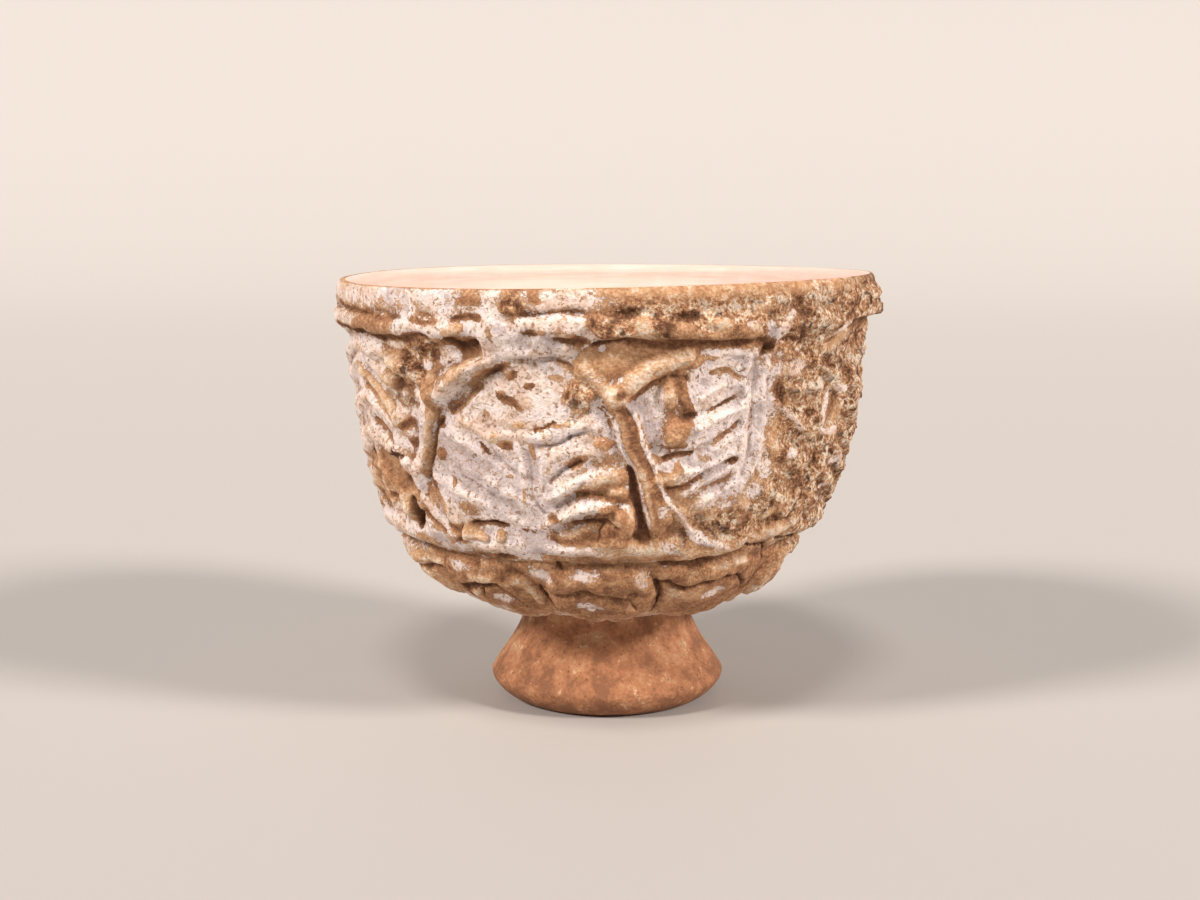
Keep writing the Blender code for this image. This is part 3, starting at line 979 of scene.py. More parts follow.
@dataclass(frozen=True)
class Cordons:
    """The turned cordons and the grooves beside them."""

    form: CupForm
    rim_below_lip: float = 7.9 * MM
    rim_half_width: float = 2.7 * MM
    rim_height: float = 0.7 * MM
    notch_below_lip: float = 5.1 * MM
    notch_half_width: float = 1.0 * MM
    notch_depth: float = 0.6 * MM
    lower_half_width: float = 3.2 * MM
    lower_height: float = 1.6 * MM
    groove_below_cordon: float = 4.4 * MM
    groove_half_width: float = 1.4 * MM
    groove_depth: float = 0.9 * MM

    def relief(self, surface: Surface) -> Array:
        """The relief of the cordons and the grooves.

        Args:
            surface: The wall.

        Returns:
            How far each point stands out, below 0 where it is sunk.
        """
        form = self.form
        bands = (
            (form.lip_z - self.rim_below_lip, self.rim_half_width, self.rim_height),
            (form.lip_z - self.notch_below_lip, self.notch_half_width, -self.notch_depth),
            (form.shoulder_z, self.lower_half_width, self.lower_height),
            (form.shoulder_z - self.groove_below_cordon, self.groove_half_width, -self.groove_depth),
        )
        return sum(ridge(surface.height - middle, half, relief) for middle, half, relief in bands)


# Where the regular relief is worn down or covered at the front. Each row is a patch's angle, height,
# two half sizes and turn, and the share of the relief that is left there.
WORN: tuple[tuple[float, ...], ...] = (
    (46, 66, 12, 14, 0, 0.65),
    (25, 62, 12, 17, 0, 0.25),
    (7, 60, 15, 4.6, -70, 0.3),
    (-20, 60, 16, 18, 0, 0.15),
    (-42, 60, 15, 5, 74, 0.15),
    (-5, 77, 8, 6, 0, 0.2),
    (12, 76, 11, 5, 20, 0.1),
    (16, 87, 22, 4.6, 0, 0.25),
    (50, 86, 22, 7, 0, 0.2),
    (-42, 87, 3.2, 3.6, 0, 0.2),
    (-24, 87, 4.4, 3.6, 0, 0.15),
    (-33, 88.6, 2.4, 1.8, 0, 0.2),
    (-12, 86, 10, 2.6, 0, 0.1),
    (-42, 40, 5, 4, 0, 0.5),
    (-8, 38.6, 26, 2.2, 0, 0.25),
    (44, 40, 6, 5, 0, 0.3),
)

# What the front has of its own. Each row is a patch, by its ground, angle, height, two half sizes,
# turn and lift, or a stroke, by its ground, points, half widths and lift. A last 0 rounds a stroke.
MARKS: tuple[tuple[Any, ...], ...] = (
    # Large grounds: the crusted right side and rim, the panels, the cordon and the petals
    (CRUST, 74, 60, 18, 28),
    (CRUST, 52, 64, 15, 24),
    (CRUST, 52, 87, 28, 7),
    (CRUST, 18, 87.4, 19, 4.6),
    (OCHRE, 28, 92.4, 32, 1.5),
    (OCHRE, 12, 82.2, 15, 2.4),
    (OCHRE, 0, 80, 9, 3, 8),
    (CRUST, 34, 47, 17, 4.4),
    (OCHRE, 11, 51, 6, 8),
    (CREAM, -62, 70, 15, 12),
    (OCHRE, -62, 52, 14, 6),
    (CREAM, -58, 92, 25, 1.7),
    (FLECKED, -20, 91, 16, 2.4),
    (PATCHY, -54, 89.6, 11, 1.2),
    (BROWN, -52, 86, 8, 1.3),
    (PATCHY, -68, 86.4, 7, 1.6),
    (CRUST, -46, 79, 7, 5.5),
    (WHITE, -16, 84.6, 14, 4.2),
    (CREAM, -19, 74, 14, 6.5),
    (LILAC, -27, 57, 14, 11.5),
    (WHITE, -14, 56, 7, 9),
    (FLECKED, -6, 62, 5.5, 12),
    (YELLOW, -19, 66.2, 9, 2.6),
    (WHITE, 25.4, 71, 9.4, 10),
    (WHITE, 25, 58.5, 9.2, 7),
    (PATCHY, 25, 50.8, 9, 1.8),
    (WHITE, -64, 43, 14, 2.6),
    (FLECKED, -34, 43, 16, 3.6),
    (LILAC, -19, 43, 6.5, 3.2),
    (TAN, 4, 41.4, 13, 2.4),
    (OCHRE, 26, 40, 10, 2.4),
    # The petals' brown grounds also paint the shade on the underside of the bowl
    (BROWN, 0, 31.6, 16, 6),
    (BROWN, 38, 32, 22, 7),
    (BROWN, -26, 32, 9, 6),
    (BROWN, -46, 33, 14, 4.4),
    (OCHRE, -66, 32, 10, 4),
    # Rim, from the left
    (PATCHY, -49.5, 90.3, 7, 0.9),
    (BROWN, ((-74, 89.2), (-62, 88.3), (-52, 87.6), (-43.4, 87.3)), (0.8, 0.8), -0.5),
    (WHITE, -42.6, 86.7, 3.4, 1.8, 20, 0.5),
    (WHITE, -41.6, 90, 1.2, 2),
    (WHITE, -36.4, 85.5, 3.2, 0.9, -4, 0.4),
    (PATCHY, -37.6, 90, 2.4, 1.7),
    (BROWN, ((-40.2, 87.6), (-37, 86.9), (-34.6, 87.2)), (0.7, 0.9), -0.45),
    (WHITE, -33, 90, 2, 2.8),
    (OCHRE, -30.5, 85.6, 2.4, 0.8, 8, 0.4),
    (BROWN, -26.8, 91, 2.6, 0.9, 6),
    (BROWN, ((-30.2, 87.4), (-27.4, 87.9), (-24.9, 87.9)), (0.7, 0.9), -0.4),
    (WHITE, -22.4, 87.4, 1.6, 3.2, 0, 0.5),
    (PITTED, -18, 90.2, 2.2, 1.8, 0, 0.5),
    # The lilac along the notch is painted shade
    (LILAC, ((-16, 88.9), (-10, 88.7), (-4.4, 89)), (1.2, 0.9), -0.8),
    (BROWN, -17, 89.4, 2, 0.6, -12),
    (PATCHY, -8, 89.3, 3.6, 0.5),
    (PATCHY, -18.2, 86.9, 1.5, 1.6),
    (WHITE, -9.6, 86.7, 5.6, 1.9, 0, 1.5),
    (YELLOW, -8, 91, 4.8, 1.4),
    (BROWN, -13.4, 91.6, 1.2, 0.6),
    (PATCHY, -28.5, 92.6, 5, 0.7),
    (UMBER, -15, 84.4, 1.7, 1.2, 35, -0.5),
    (OCHRE, -12.4, 85.3, 0.7, 0.6, 0, 0.3),
    (UMBER, -7.3, 84, 2.4, 0.8, -6, -0.6),
    (OCHRE, -8, 85, 1.6, 0.5, 0, 0.2),
    (OCHRE, -22.5, 84.6, 0.55, 2, 8, -0.3),
    (OCHRE, -6.6, 81.9, 0.6, 1.3, 10),
    (UMBER, -11, 82.5, 0.8, 0.4, -15, -0.2),
    (LILAC, -1.4, 82.1, 0.9, 0.8),
    # Lumps and hollows of the crusted rim, with its worn lip at the right
    (None, 72, 93, 16, 2.2, 0, -1.5),
    (None, 96, 92.6, 12, 2.4, 0, -1.2),
    (PITTED, -1.2, 86.3, 1.9, 1.9, 0, 1.1),
    (CRUST, 2.6, 85.2, 2.3, 1.2, -10, 0.7),
    (PITTED, 3, 88.8, 2.2, 1.2, 0, -0.9),
    (TAN, 7, 86.4, 1.4, 2, 0, 0.4),
    (PITTED, 10.6, 85.8, 2.1, 2, 0, 1),
    (BROWN, 13.8, 85.2, 2.4, 1.4, -20, 0.8),
    (PITTED, 14.8, 87.6, 2.6, 0.9, 0, -1.1),
    (TAN, 21.4, 86.6, 2.4, 1.1, -12, 0.8),
    (BROWN, 21, 84.2, 3.4, 1.3, 5, 0.9),
    (SOIL, 11, 86.4, 1.1, 0.8),
    (BROWN, 27, 84.6, 2.4, 1.4, -10, 0.9),
    (CREAM, 27.8, 86.1, 1.4, 0.6, -12, 0.3),
    (CRUST, 33, 90.2, 3, 1.6, 0, 0.9),
    (LILAC, 32.4, 85, 1.3, 1.6, 20, -0.4),
    (WHITE, ((33.8, 82.8), (35.2, 85.2), (37, 87.6)), (1.3, 1.1), 1.1),
    (SOIL, 32.8, 81.6, 1.9, 0.9, 60, -1.1),
    (UMBER, 30.8, 82.8, 1.8, 0.8, -15, -0.6),
    (PITTED, 39.6, 88.2, 3, 1.4, -40, -0.7),
    (CRUST, 44, 90.6, 2.8, 1.5, 0, 1),
    (PITTED, 41.6, 83, 3, 0.9, -42, -0.7),
    (CRUST, 45.6, 86, 3, 1.7, -25, 1),
    (CRUST, 50.4, 88.9, 3, 1.1, 0, -0.3),
    (CREAM, 54, 83.8, 4.4, 0.7, 32, 0.5),
    (TAN, 55, 81, 4.4, 1.2, 25, 0.2),
    (TAN, 30.4, 88.6, 2.6, 0.9),
    (PITTED, 57.6, 87, 3, 1.1, 10, -0.7),
    (CRUST, 76, 88.4, 9, 2, 0, 0.7),
    (BROWN, ((58, 84.6), (66, 84.2), (90, 84.4)), (1.5, 2), -1.3),
    (None, 80, 81.6, 14, 3.6, 0, -1.5),
    # Undercut below the rim's cordon, with the drape of glaze that hangs from it. The dark grounds along
    # the undercut are soil and painted shade
    (UMBER, ((-74, 84.4), (-64, 84.8), (-60, 84.2)), (0.8, 1.1), -0.6),
    (PITTED, ((-60.4, 84.1), (-56, 83.6)), (1.1, 1.2), -0.6),
    (SOIL, ((-54.8, 83.6), (-51.6, 82.8)), (0.8, 1.1), -0.9),
    (BROWN, ((-51, 83.4), (-45, 83.6), (-38, 83.9)), (1.5, 1.4), -0.8),
    (CRUST, -37, 82.4, 3.2, 1.8),
    (PITTED, -37.2, 80.4, 1.3, 1.8, 0, -0.4),
    (BROWN, -29.6, 82.7, 4.6, 1.9, 0, -0.5),
    (SOIL, -32, 84, 1.5, 0.7, 15, -0.8),
    (SOIL, -30.4, 82.8, 1.7, 0.7, -10, -1),
    (SOIL, -27, 83.2, 1.6, 0.6, 5, -0.9),
    (WHITE, -15.6, 82.4, 7.2, 2.2),
    (FLECKED, -9, 81.6, 2, 1.2),
    (None, ((-23.6, 82.9), (-16, 82.6), (-9, 82.4)), (2.5, 2), 0.8),
    (None, ((-22.6, 79.9), (-16, 80.5), (-10.5, 80.2), (-7, 78.4)), (1, 0.8), -0.7),
    (WHITE, -24.6, 82.8, 0.9, 2.6, 0, 0.4),
    (SOIL, ((-3.6, 83), (0.4, 83.8), (4.4, 83.8)), (0.6, 0.8), -0.9),
    (BROWN, ((4, 83.5), (10, 83), (16, 82.8), (27, 83)), (1.3, 1.5), -0.9),
    # The left arch's thick band, and what lies under it
    (CREAM, ((-37.4, 72.6), (-33.4, 75.2), (-29, 77.8), (-24.6, 79.8)), (3.1, 2.6), 1.9),
    (OCHRE, -31, 77.3, 5.2, 1.4, 38),
    (PATCHY, -34.4, 74.8, 2.2, 1, 42),
    # A dark ground in the groove under the band: painted shadow of the band
    (PATCHY, ((-33.6, 69.6), (-30.2, 71.8), (-26.6, 74.5)), (1.4, 1.2), -0.9),
    (OCHRE, -25.8, 77.2, 2.2, 0.9, 35, -0.3),
    (UMBER, -22.8, 78.2, 2.9, 0.8, 24, -0.9),
    (OCHRE, -27.2, 74.5, 0.9, 0.6),
    (SOIL, ((-33.6, 78.6), (-32.2, 79.5)), (0.35, 0.35), -0.4),
    (CREAM, -32.8, 80.4, 2.2, 1.9, -20, 0.3),
    (OCHRE, ((-9.8, 79.7), (-7.4, 78), (-5.4, 76.3)), (0.6, 0.7), -0.3),
    (FLECKED, ((-8.4, 81.6), (-5, 79), (-2, 75), (0, 71)), (2.2, 1.4), 0.4),
    (OCHRE, -4.4, 79.2, 2.6, 2.2, -50),
    (PATCHY, -2.2, 76.6, 1.8, 1.4, -50),
    (CRUST, -5.4, 73.2, 2.8, 2.6, 0, 0.3),
    # The left column: ochre above, white below, with a hollow along its right. The white strip at its
    # left is partly painted light, and the soil and brown at the top of the hollow are painted shade
    (WHITE, ((-40.6, 71), (-42.4, 66), (-44.2, 61), (-45.8, 57), (-47.2, 53)),
           (1.6, 2.2), 1.2),
    (OCHRE, ((-38, 76), (-38.4, 71), (-40, 66.4), (-42, 61), (-44, 56)), (1.75, 1.1), 1.5),
    (BROWN, -38.4, 72.8, 1.3, 3.2),
    (CREAM, -43.8, 57.4, 1.3, 3.4, 20),
    (FLECKED, ((-36.2, 68.4), (-39, 63.6), (-41, 59.6), (-42.8, 55), (-44.4, 52.6)),
           (0.8, 0.7), -0.6),
    (BROWN, ((-36.6, 67.6), (-39.2, 63.2), (-41, 59.4)), (0.6, 0.4), -0.2),
    (SOIL, -36.9, 66.8, 0.9, 1.1, -40, -0.5),
    (UMBER, -42.6, 55, 0.6, 2.6, 18),
    (BROWN, -38.4, 60.4, 0.8, 1.2),
    (WHITE, -42.4, 72.2, 1.5, 1.7, 0, 0.9),
    (WHITE, -39.8, 78.2, 1.4, 1, -35, 0.6),
    # Between that column and the left panel
    (PITTED, -45.8, 79.4, 1.4, 1.2, 0, -0.5),
    (PITTED, -43.4, 77.6, 1.7, 0.8, 0, -0.4),
    (TAN, -49, 78.6, 2.4, 2, 0, 0.6),
    (CREAM, -48.8, 81.5, 2.6, 0.8, 0, 0.3),
    (SOIL, -48.4, 73.6, 1.9, 1.5, 50, -1.4),
    (OCHRE, -52.6, 74.4, 3, 1.6, -10, 0.4),
    (CRUST, -47.4, 70.6, 2.8, 1.2),
    (FLECKED, -50, 67.6, 2.8, 1.7, -8, 0.9),
    (UMBER, -47, 66, 1.8, 1, 15, -0.9),
    (CREAM, -51, 61.6, 3.2, 2.1, -10, 1.1),
    (BROWN, -46.8, 62.2, 1.1, 1.1, 0, -0.4),
    (SOIL, ((-54.6, 59.8), (-50.6, 58.2)), (0.5, 0.6), -0.7),
    (WHITE, -49.6, 56.6, 2, 1.6, 0, 0.6),
    # Left panel: the smooth glaze under the rim, and leaflets that fall to the right
    (WHITE, -59.6, 80.6, 5.6, 2.6, 14, 0.7),
    (LILAC, -63, 77.4, 4, 2.2),
    (CREAM, -57, 77.2, 3.2, 1.8),
    (TAN, ((-68, 76), (-60, 72.8), (-52.6, 68.8)), (1.5, 1.2), 0.8),
    (OCHRE, ((-68, 73.4), (-61, 71.2), (-55, 68.2), (-51.6, 65.6)), (0.8, 0.8), -0.8),
    (CREAM, ((-70, 70.4), (-60, 68.4), (-53, 64.2)), (1.6, 1.3), 0.8),
    (PATCHY, ((-68, 66.4), (-60, 64.6), (-54, 60.8)), (0.9, 0.9), -0.9),
    (FLECKED, ((-70, 62), (-63, 61), (-56, 59)), (1.5, 1.2), 0.7),
    (SOIL, ((-71, 57.4), (-65, 57.8)), (0.7, 0.7), -0.7),
    (SOIL, ((-58.4, 59.4), (-52.6, 58.3)), (0.5, 0.7), -0.7),
    (OCHRE, -59, 53, 9, 2.6, -8),
    (BROWN, ((-68, 55.6), (-59, 53.6), (-53.6, 51)), (1.4, 1.2), 0.7),
    (UMBER, -51.6, 53.8, 1.7, 1.2, 15, -0.5),
    (UMBER, ((-66, 48.8), (-61, 48.4), (-56.2, 50)), (0.8, 0.8), -0.7),
    (CREAM, -60.4, 46.4, 4.4, 1.3, 10),
    # Curl and spur at the left column's foot
    (TAN, -54.4, 47.6, 3.2, 2.5, 10, 1.3),
    (SOIL, ((-50.4, 49.8), (-49.8, 47.4), (-51, 44.4)), (1.1, 1.4), -1.4),
    (CREAM, ((-47.6, 50.4), (-44.6, 48.6), (-41, 45.6), (-37.2, 42.6)), (1.3, 0.9), 1.2),
    (BROWN, ((-47.6, 47.4), (-44, 45.8), (-41.4, 43.6)), (1, 0.7), -0.6),
    (OCHRE, ((-43, 51.8), (-40.2, 49.2), (-38, 46.8)), (1.2, 1), -0.4),
    (YELLOW, -36.4, 47, 3, 2, -40, 0.3),
    (BROWN, -37, 44.8, 2.4, 1.2, -20, -0.4),
    # Slots over the lower cordon, dark with soil and painted shade
    (SOIL, -31, 46.1, 2.5, 0.6, 10, -1.2),
    (SOIL, -25.8, 46.5, 2.2, 0.6, -8, -1.2),
    (OCHRE, ((-34.4, 44.2), (-32, 43.8), (-29, 43.4)), (1.4, 1.1), 1),
    (OCHRE, -25, 44.2, 1.3, 1.3, 0, 0.6),
    (WHITE, -28, 44.8, 1.2, 0.9),
    (SOIL, -35.6, 42.7, 1.6, 0.4, -8, -0.6),
    # Left half of the middle panel: low leaflets, and a stem of two thin lines
    (None, ((-18.6, 51), (-27, 56.4), (-35.5, 60)), (1.7, 1.4), 0.5),
    # Lilac grooves between the leaflets: painted shade
    (LILAC, ((-25.6, 52.2), (-28.6, 54), (-33, 56.4)), (0.5, 0.5), -0.55),
    (None, ((-19, 47), (-27, 50.6), (-35, 53)), (1.7, 1.4), 0.5),
    (None, ((-18.6, 55), (-26, 60), (-34.6, 64)), (1.3, 1.1), 0.4),
    (None, ((-18.6, 59), (-26, 64.6), (-33, 68.4)), (1.6, 1.2), 0.5),
    (LILAC, ((-20, 58), (-26, 61.4), (-31, 64.6)), (0.6, 0.5), -0.4),
    (WHITE, ((-18.8, 63), (-18.2, 52)), (0.9, 0.7), 0.5),
    (LILAC, ((-16.8, 62), (-16.4, 52), (-14.4, 49.6)), (0.5, 0.4), -0.4),
    (WHITE, ((-14.6, 61), (-14.4, 52)), (0.8, 0.6), 0.45),
    # Its right half: leaflets that rise to the column
    (YELLOW, ((-25, 64.4), (-18, 64.4), (-13, 64.7)), (1.2, 1.5), 0.5),
    (CREAM, ((-14, 64.9), (-9, 66.4), (-4.6, 68)), (1.5, 1.7), 0.6),
    (UMBER, ((-14.8, 66.4), (-12.6, 67), (-10.8, 68)), (0.4, 0.5), -0.5),
    # Lilac grooves under these ridges: painted shade
    (LILAC, ((-14.2, 62.7), (-10.4, 63.6), (-7.6, 64.8)), (0.7, 0.7), -0.6),
    (LILAC, ((-7.6, 64.6), (-4.2, 66)), (0.7, 0.5), -0.7),
    (CREAM, ((-12.6, 59.8), (-8, 62), (-3.2, 64.6)), (1.5, 1.4), 0.5),
    (LILAC, ((-12.4, 56), (-9.4, 58.4), (-5.8, 60.4)), (0.8, 0.6), -0.8),
    (WHITE, ((-13, 52.6), (-9, 55), (-4.2, 57.2)), (1.1, 1.5), 0.8),
    (LILAC, ((-11.6, 50.6), (-8.4, 52.6), (-6, 53.6)), (0.7, 0.8), -0.7),
    (BROWN, ((-6, 53.4), (-1, 53.8), (4, 53.2)), (1.1, 1.2), -0.5),
    (OCHRE, 1.2, 47, 4.2, 3.4, 0, 0.8),
    (CREAM, ((-13, 47.4), (-6, 50.6), (-1, 51.8)), (0.9, 1.7), 1.1, 0),
    (BROWN, ((-0.4, 51), (3, 50), (4.4, 47.4), (3.6, 44.6)), (1.8, 1.8), 1, 0),
    # Dark line under the leaflet that wraps over the knob: painted shade
    (UMBER, ((-8, 47.6), (-4, 48.2), (-0.2, 48.3), (2.4, 47.6)), (0.4, 0.5), -0.7),
    (PATCHY, ((-10, 44.9), (-5, 46.4), (-3, 46.6)), (1.2, 1.1), 0.4),
    (BROWN, -6.4, 44.2, 5.4, 0.8, 2, -0.4),
    (BROWN, 1.2, 45.4, 2.4, 2, 0, 1.4),
    (UMBER, ((-0.8, 47.6), (-1.8, 46.2), (-1.6, 44.4)), (0.35, 0.35), -0.5),
    (OCHRE, -0.6, 55.8, 3.4, 2.2, 12, 0.8),
    (BROWN, -6.6, 60.3, 2.4, 0.8, 32, -0.3),
    (PATCHY, -10.4, 60.6, 1.6, 1, 30),
    (PATCHY, 0, 60.6, 2.6, 2.4),
    # Flakes lost from its glaze
    (UMBER, -19.4, 76.9, 1.4, 0.7, 48, -0.2),
    (UMBER, -15.9, 75, 1, 0.8, 0, -0.2),
    (UMBER, -20.8, 72.3, 2.2, 0.9, -26, -0.3),
    (UMBER, -18.8, 70.8, 1.2, 0.5, -45, -0.2),
    (PATCHY, -24, 73, 1, 1.7),
    (OCHRE, -10.8, 76.5, 1.4, 0.6, -12, -0.2),
    (OCHRE, -26, 69.2, 1, 0.9, -20, -0.2),
    (OCHRE, -9.4, 67.2, 1.8, 0.4),
    (OCHRE, -18.6, 66.6, 1.4, 0.5),
    (UMBER, -21.6, 63, 1.5, 0.7, -5, -0.2),
    (OCHRE, -24, 64.8, 0.8, 0.6),
    (UMBER, -27, 62, 1.5, 0.5, -48, -0.2),
    (OCHRE, -15.8, 61.6, 0.5, 1.8, 0, -0.2),
    (OCHRE, -21.5, 56.8, 0.9, 0.6, 0, -0.2),
    (OCHRE, -18.4, 52.6, 0.5, 1.2, 0, -0.1),
    (UMBER, -11.8, 48.4, 1.3, 0.6, 0, -0.4),
    (OCHRE, -35.6, 54.7, 0.6, 0.9, 25, -0.2),
    (PATCHY, -33, 49.4, 3, 1.4),
    (LILAC, -2.2, 69.6, 1.9, 3.8, 12),
    (BROWN, 0.6, 68.2, 0.8, 0.7),
    (BROWN, -0.4, 63.6, 1.8, 0.9),
    # The middle column: a brown band between thin pale edges, a deep hollow left of its foot
    (OCHRE, ((2.2, 71.6), (4.6, 66.4), (7.4, 60), (9.6, 54), (12, 47.4)), (2.6, 2.8), 0.9),
    (UMBER, ((3, 71), (5.4, 65.6), (8, 59.6), (10.4, 53), (12.4, 46.6)), (1.7, 1.5), -0.2),
    (FLECKED, 12.6, 49, 3, 1.3, -60),
    # The hollow's brown, and its umber at the top, are partly painted shade
    (BROWN, ((4.3, 58.6), (5.8, 54.6), (7.2, 50), (8, 45.6)), (0.9, 2.8), -1.3),
    (UMBER, ((4.3, 58.6), (5.8, 54.6), (6.8, 50), (7, 47)), (0.8, 1.9)),
    (CREAM, ((0.4, 69.4), (2.6, 63.8), (4.5, 59.4), (6.9, 54), (9.3, 48), (10.4, 45)),
           (0.55, 0.4), 0.7),
    (CREAM, ((3.2, 72.6), (5.8, 67.6), (8.2, 62.4), (9.2, 59.4), (10.4, 56)),
           (0.55, 0.6), 0.7),
    (CREAM, ((10.4, 56), (13.4, 51.8), (17, 48), (20, 45.4)), (0.5, 0.8), 0.5),
    (WHITE, 22, 44.4, 3.4, 1.1, -28, 0.4),
    (FLECKED, ((24, 43.6), (31, 41.8)), (1, 0.7), 0.5),
    (BROWN, 12.6, 46, 2.8, 2, -15, -0.6),
    (FLECKED, 7, 72.2, 2.9, 2.4),
    (LILAC, 6.6, 71.2, 2, 1.6),
    (LILAC, 9.6, 66.4, 6.6, 1.6, -68),
    (LILAC, 11.7, 58.8, 1.5, 1.6, 0, 0.2),
    # The arch that springs from it
    (OCHRE, ((1.2, 73.2), (4.6, 75.5), (8.6, 78.1), (12.6, 79.7), (15.4, 79.9)),
           (2.9, 2.1), 1.9),
    # A pale fleck on the arch's end: painted highlight
    (FLECKED, 2.4, 76.3, 1.3, 0.4, 35, 0.1),
    (SOIL, 2.4, 73.4, 1.3, 0.8, 25),
    # A brown groove under the arch band, darkened as painted shade
    (BROWN, ((5, 73.2), (8, 75), (12, 76.2), (15.6, 76.2)), (0.8, 0.9), -0.8),
    (OCHRE, 15, 79.6, 2.2, 1.3, 0, 0.5),
    (OCHRE, 18, 78.6, 1.6, 0.8, 25, 0.5),
    (OCHRE, 21, 79.6, 1.3, 0.6, 10, 0.4),
    # The knobs that hang below it
    (OCHRE, 12, 73.4, 1.5, 2.8, 0, 1.1),
    (CREAM, 10.5, 72.8, 0.6, 2.2, 0, 0.3),
    (BROWN, ((14.2, 76.8), (14.6, 73.4), (16.2, 70.4)), (1.4, 1.3), 0.5),
    (SOIL, 16.2, 68.6, 1.8, 0.9, 20, -0.6),
    (BROWN, 13.8, 65.8, 2.7, 2.2, 0, 1.7),
    (BROWN, 14.2, 63.1, 2.2, 0.5),
    (UMBER, ((11.6, 60.6), (14, 61.4), (17.6, 61.6)), (0.7, 0.5), -0.8),
    (OCHRE, 12.2, 56.4, 2.4, 1.1, 0, 0.4),
    (OCHRE, 14.8, 58.4, 0.9, 1.4, 0, 0.2),
    # Leaf of the right panel, its stem at the right
    (None, ((28, 75), (23, 74), (18, 72)), (1.4, 1.2), 0.6),
    (WHITE, ((18.6, 69.2), (22, 70.4), (27.4, 72.4)), (0.6, 0.5), -0.5),
    (BROWN, ((21.4, 70), (24, 71), (26.2, 71.9)), (0.35, 0.35), -0.2),
    (None, ((28, 69.8), (23, 68), (18.6, 65.8)), (1.5, 1.1), 0.7),
    (WHITE, ((18.6, 62), (23, 64), (28, 66.8)), (0.6, 0.5), -0.5),
    (OCHRE, ((23, 63.8), (25, 65), (27.4, 66.5)), (0.35, 0.4), -0.2),
    (None, ((28, 64.4), (22, 61.8), (18, 60)), (1.3, 1), 0.6),
    (None, ((28, 61), (22, 58.8), (16.6, 57.2)), (1.3, 1), 0.6),
    (BROWN, ((13.2, 54.5), (17.4, 55), (20.4, 56.6)), (0.9, 0.7), -0.8),
    # Lilac groove: painted shade
    (LILAC, ((20.4, 56.6), (26.4, 59.3)), (0.6, 0.5), -0.6),
    (None, ((27, 58.4), (21, 55.2), (15.6, 52.8)), (1.3, 1.1), 0.7),
    (FLECKED, ((21.6, 54), (27, 56.4)), (0.5, 0.5), -0.5),
    (None, ((28, 55), (20, 51)), (1.4, 1.4), 0.7),
    (OCHRE, ((20.6, 76.4), (24, 77), (27.4, 75.7)), (0.5, 0.6), -0.5),
    (WHITE, ((28.6, 79), (28.8, 66), (28.4, 55)), (1.2, 1), 0.7),
    # Lilac groove beside the stem: painted shade
    (LILAC, ((30.6, 80), (30.9, 66), (30.4, 56)), (0.7, 0.5), -0.5),
    (WHITE, ((33, 79.4), (33.2, 68), (32.6, 56)), (1.3, 1), 0.7),
    (WHITE, 23.5, 80.6, 3.8, 0.9, 0, 0.2),
    (PATCHY, 31.8, 78.6, 0.8, 1.2),
    (UMBER, 27.2, 59.5, 0.8, 0.6, 30, -0.2),
    (OCHRE, 33.6, 56.1, 1, 1, 0, -0.3),
    (OCHRE, 37.4, 62.8, 1.2, 4),
    (PATCHY, 20, 60.4, 1.4, 1.2),
    (WHITE, 36.8, 57.2, 2.2, 1.6, -30, 0.2),
    (WHITE, 34.6, 52.6, 1.6, 1.6, -30),
    (WHITE, 42.8, 59.9, 1.6, 1.2, 0, 0.4),
    # The crusted leaf at the right
    (CREAM, ((37, 70.2), (41, 67.2), (45.4, 64.2)), (0.8, 0.6), 0.5),
    (None, ((40, 72.6), (45, 71.6), (50, 72.8)), (1.5, 1.3), 0.9),
    (PITTED, 47.4, 67.3, 1.7, 0.7, 0, -0.8),
    (PITTED, 53.4, 77.1, 3.4, 0.9, -8, -0.8),
    (CREAM, 42, 77.4, 2, 1.3, 30, 0.5),
    (PITTED, 37.6, 72, 1, 2.4, 0, -0.4),
    (WHITE, 54.2, 67, 1.3, 4.4, 0, 0.3),
    (CREAM, 58, 71.4, 3, 0.7, 0, 0.3),
    (WHITE, 58.6, 62.8, 3.8, 0.9, 0, 0.3),
    (OCHRE, 58.4, 66.8, 2.8, 2.2, 0, -0.5),
    (SOIL, 53, 57.8, 1.2, 0.5, -60, -0.8),
    (CREAM, 64, 56, 3.4, 1.2, 0, 0.4),
    # Between that leaf and the lower cordon
    (OCHRE, 23.6, 48.6, 1.5, 1.6, 20, 0.4),
    (BROWN, 33.2, 47.2, 2.2, 1, 10, -0.4),
    (TAN, 32.4, 49.8, 1.6, 0.8, -30, 0.3),
    (TAN, 45.4, 43.8, 5, 1.9, 12, 1.1),
    (TAN, 42, 47.8, 2.4, 1.1, 25, 0.5),
    (CREAM, 59, 50.4, 2.6, 1, 30, 0.5),
    # The lower cordon
    (OCHRE, -49.6, 41.4, 3.2, 0.9, -8, -0.4),
    (WHITE, -45.6, 43.3, 1.6, 1.1, 0, 0.3),
    (OCHRE, -39.6, 41.7, 1.8, 1, 25, -0.4),
    (OCHRE, -44, 44.5, 1.3, 0.8),
    (WHITE, -36.6, 40.8, 3, 1.1, 0, 0.2),
    (PATCHY, -32.4, 40.4, 1.6, 1.6),
    (CREAM, -27.4, 41.8, 3.4, 1.2, 0, 0.2),
    (UMBER, -25.4, 39.4, 3, 0.7, 6, -0.6),
    (OCHRE, -28.6, 39, 0.9, 0.5, 0, 0.3),
    (BROWN, ((-19, 45.7), (-16.4, 45.4)), (0.3, 0.4), -0.3),
    (WHITE, -14.8, 41.6, 2.8, 1.7),
    (CREAM, -6.6, 42.5, 6.4, 1, 3, 0.5),
    (OCHRE, -4.6, 40.4, 5.6, 0.9, 4, -0.3),
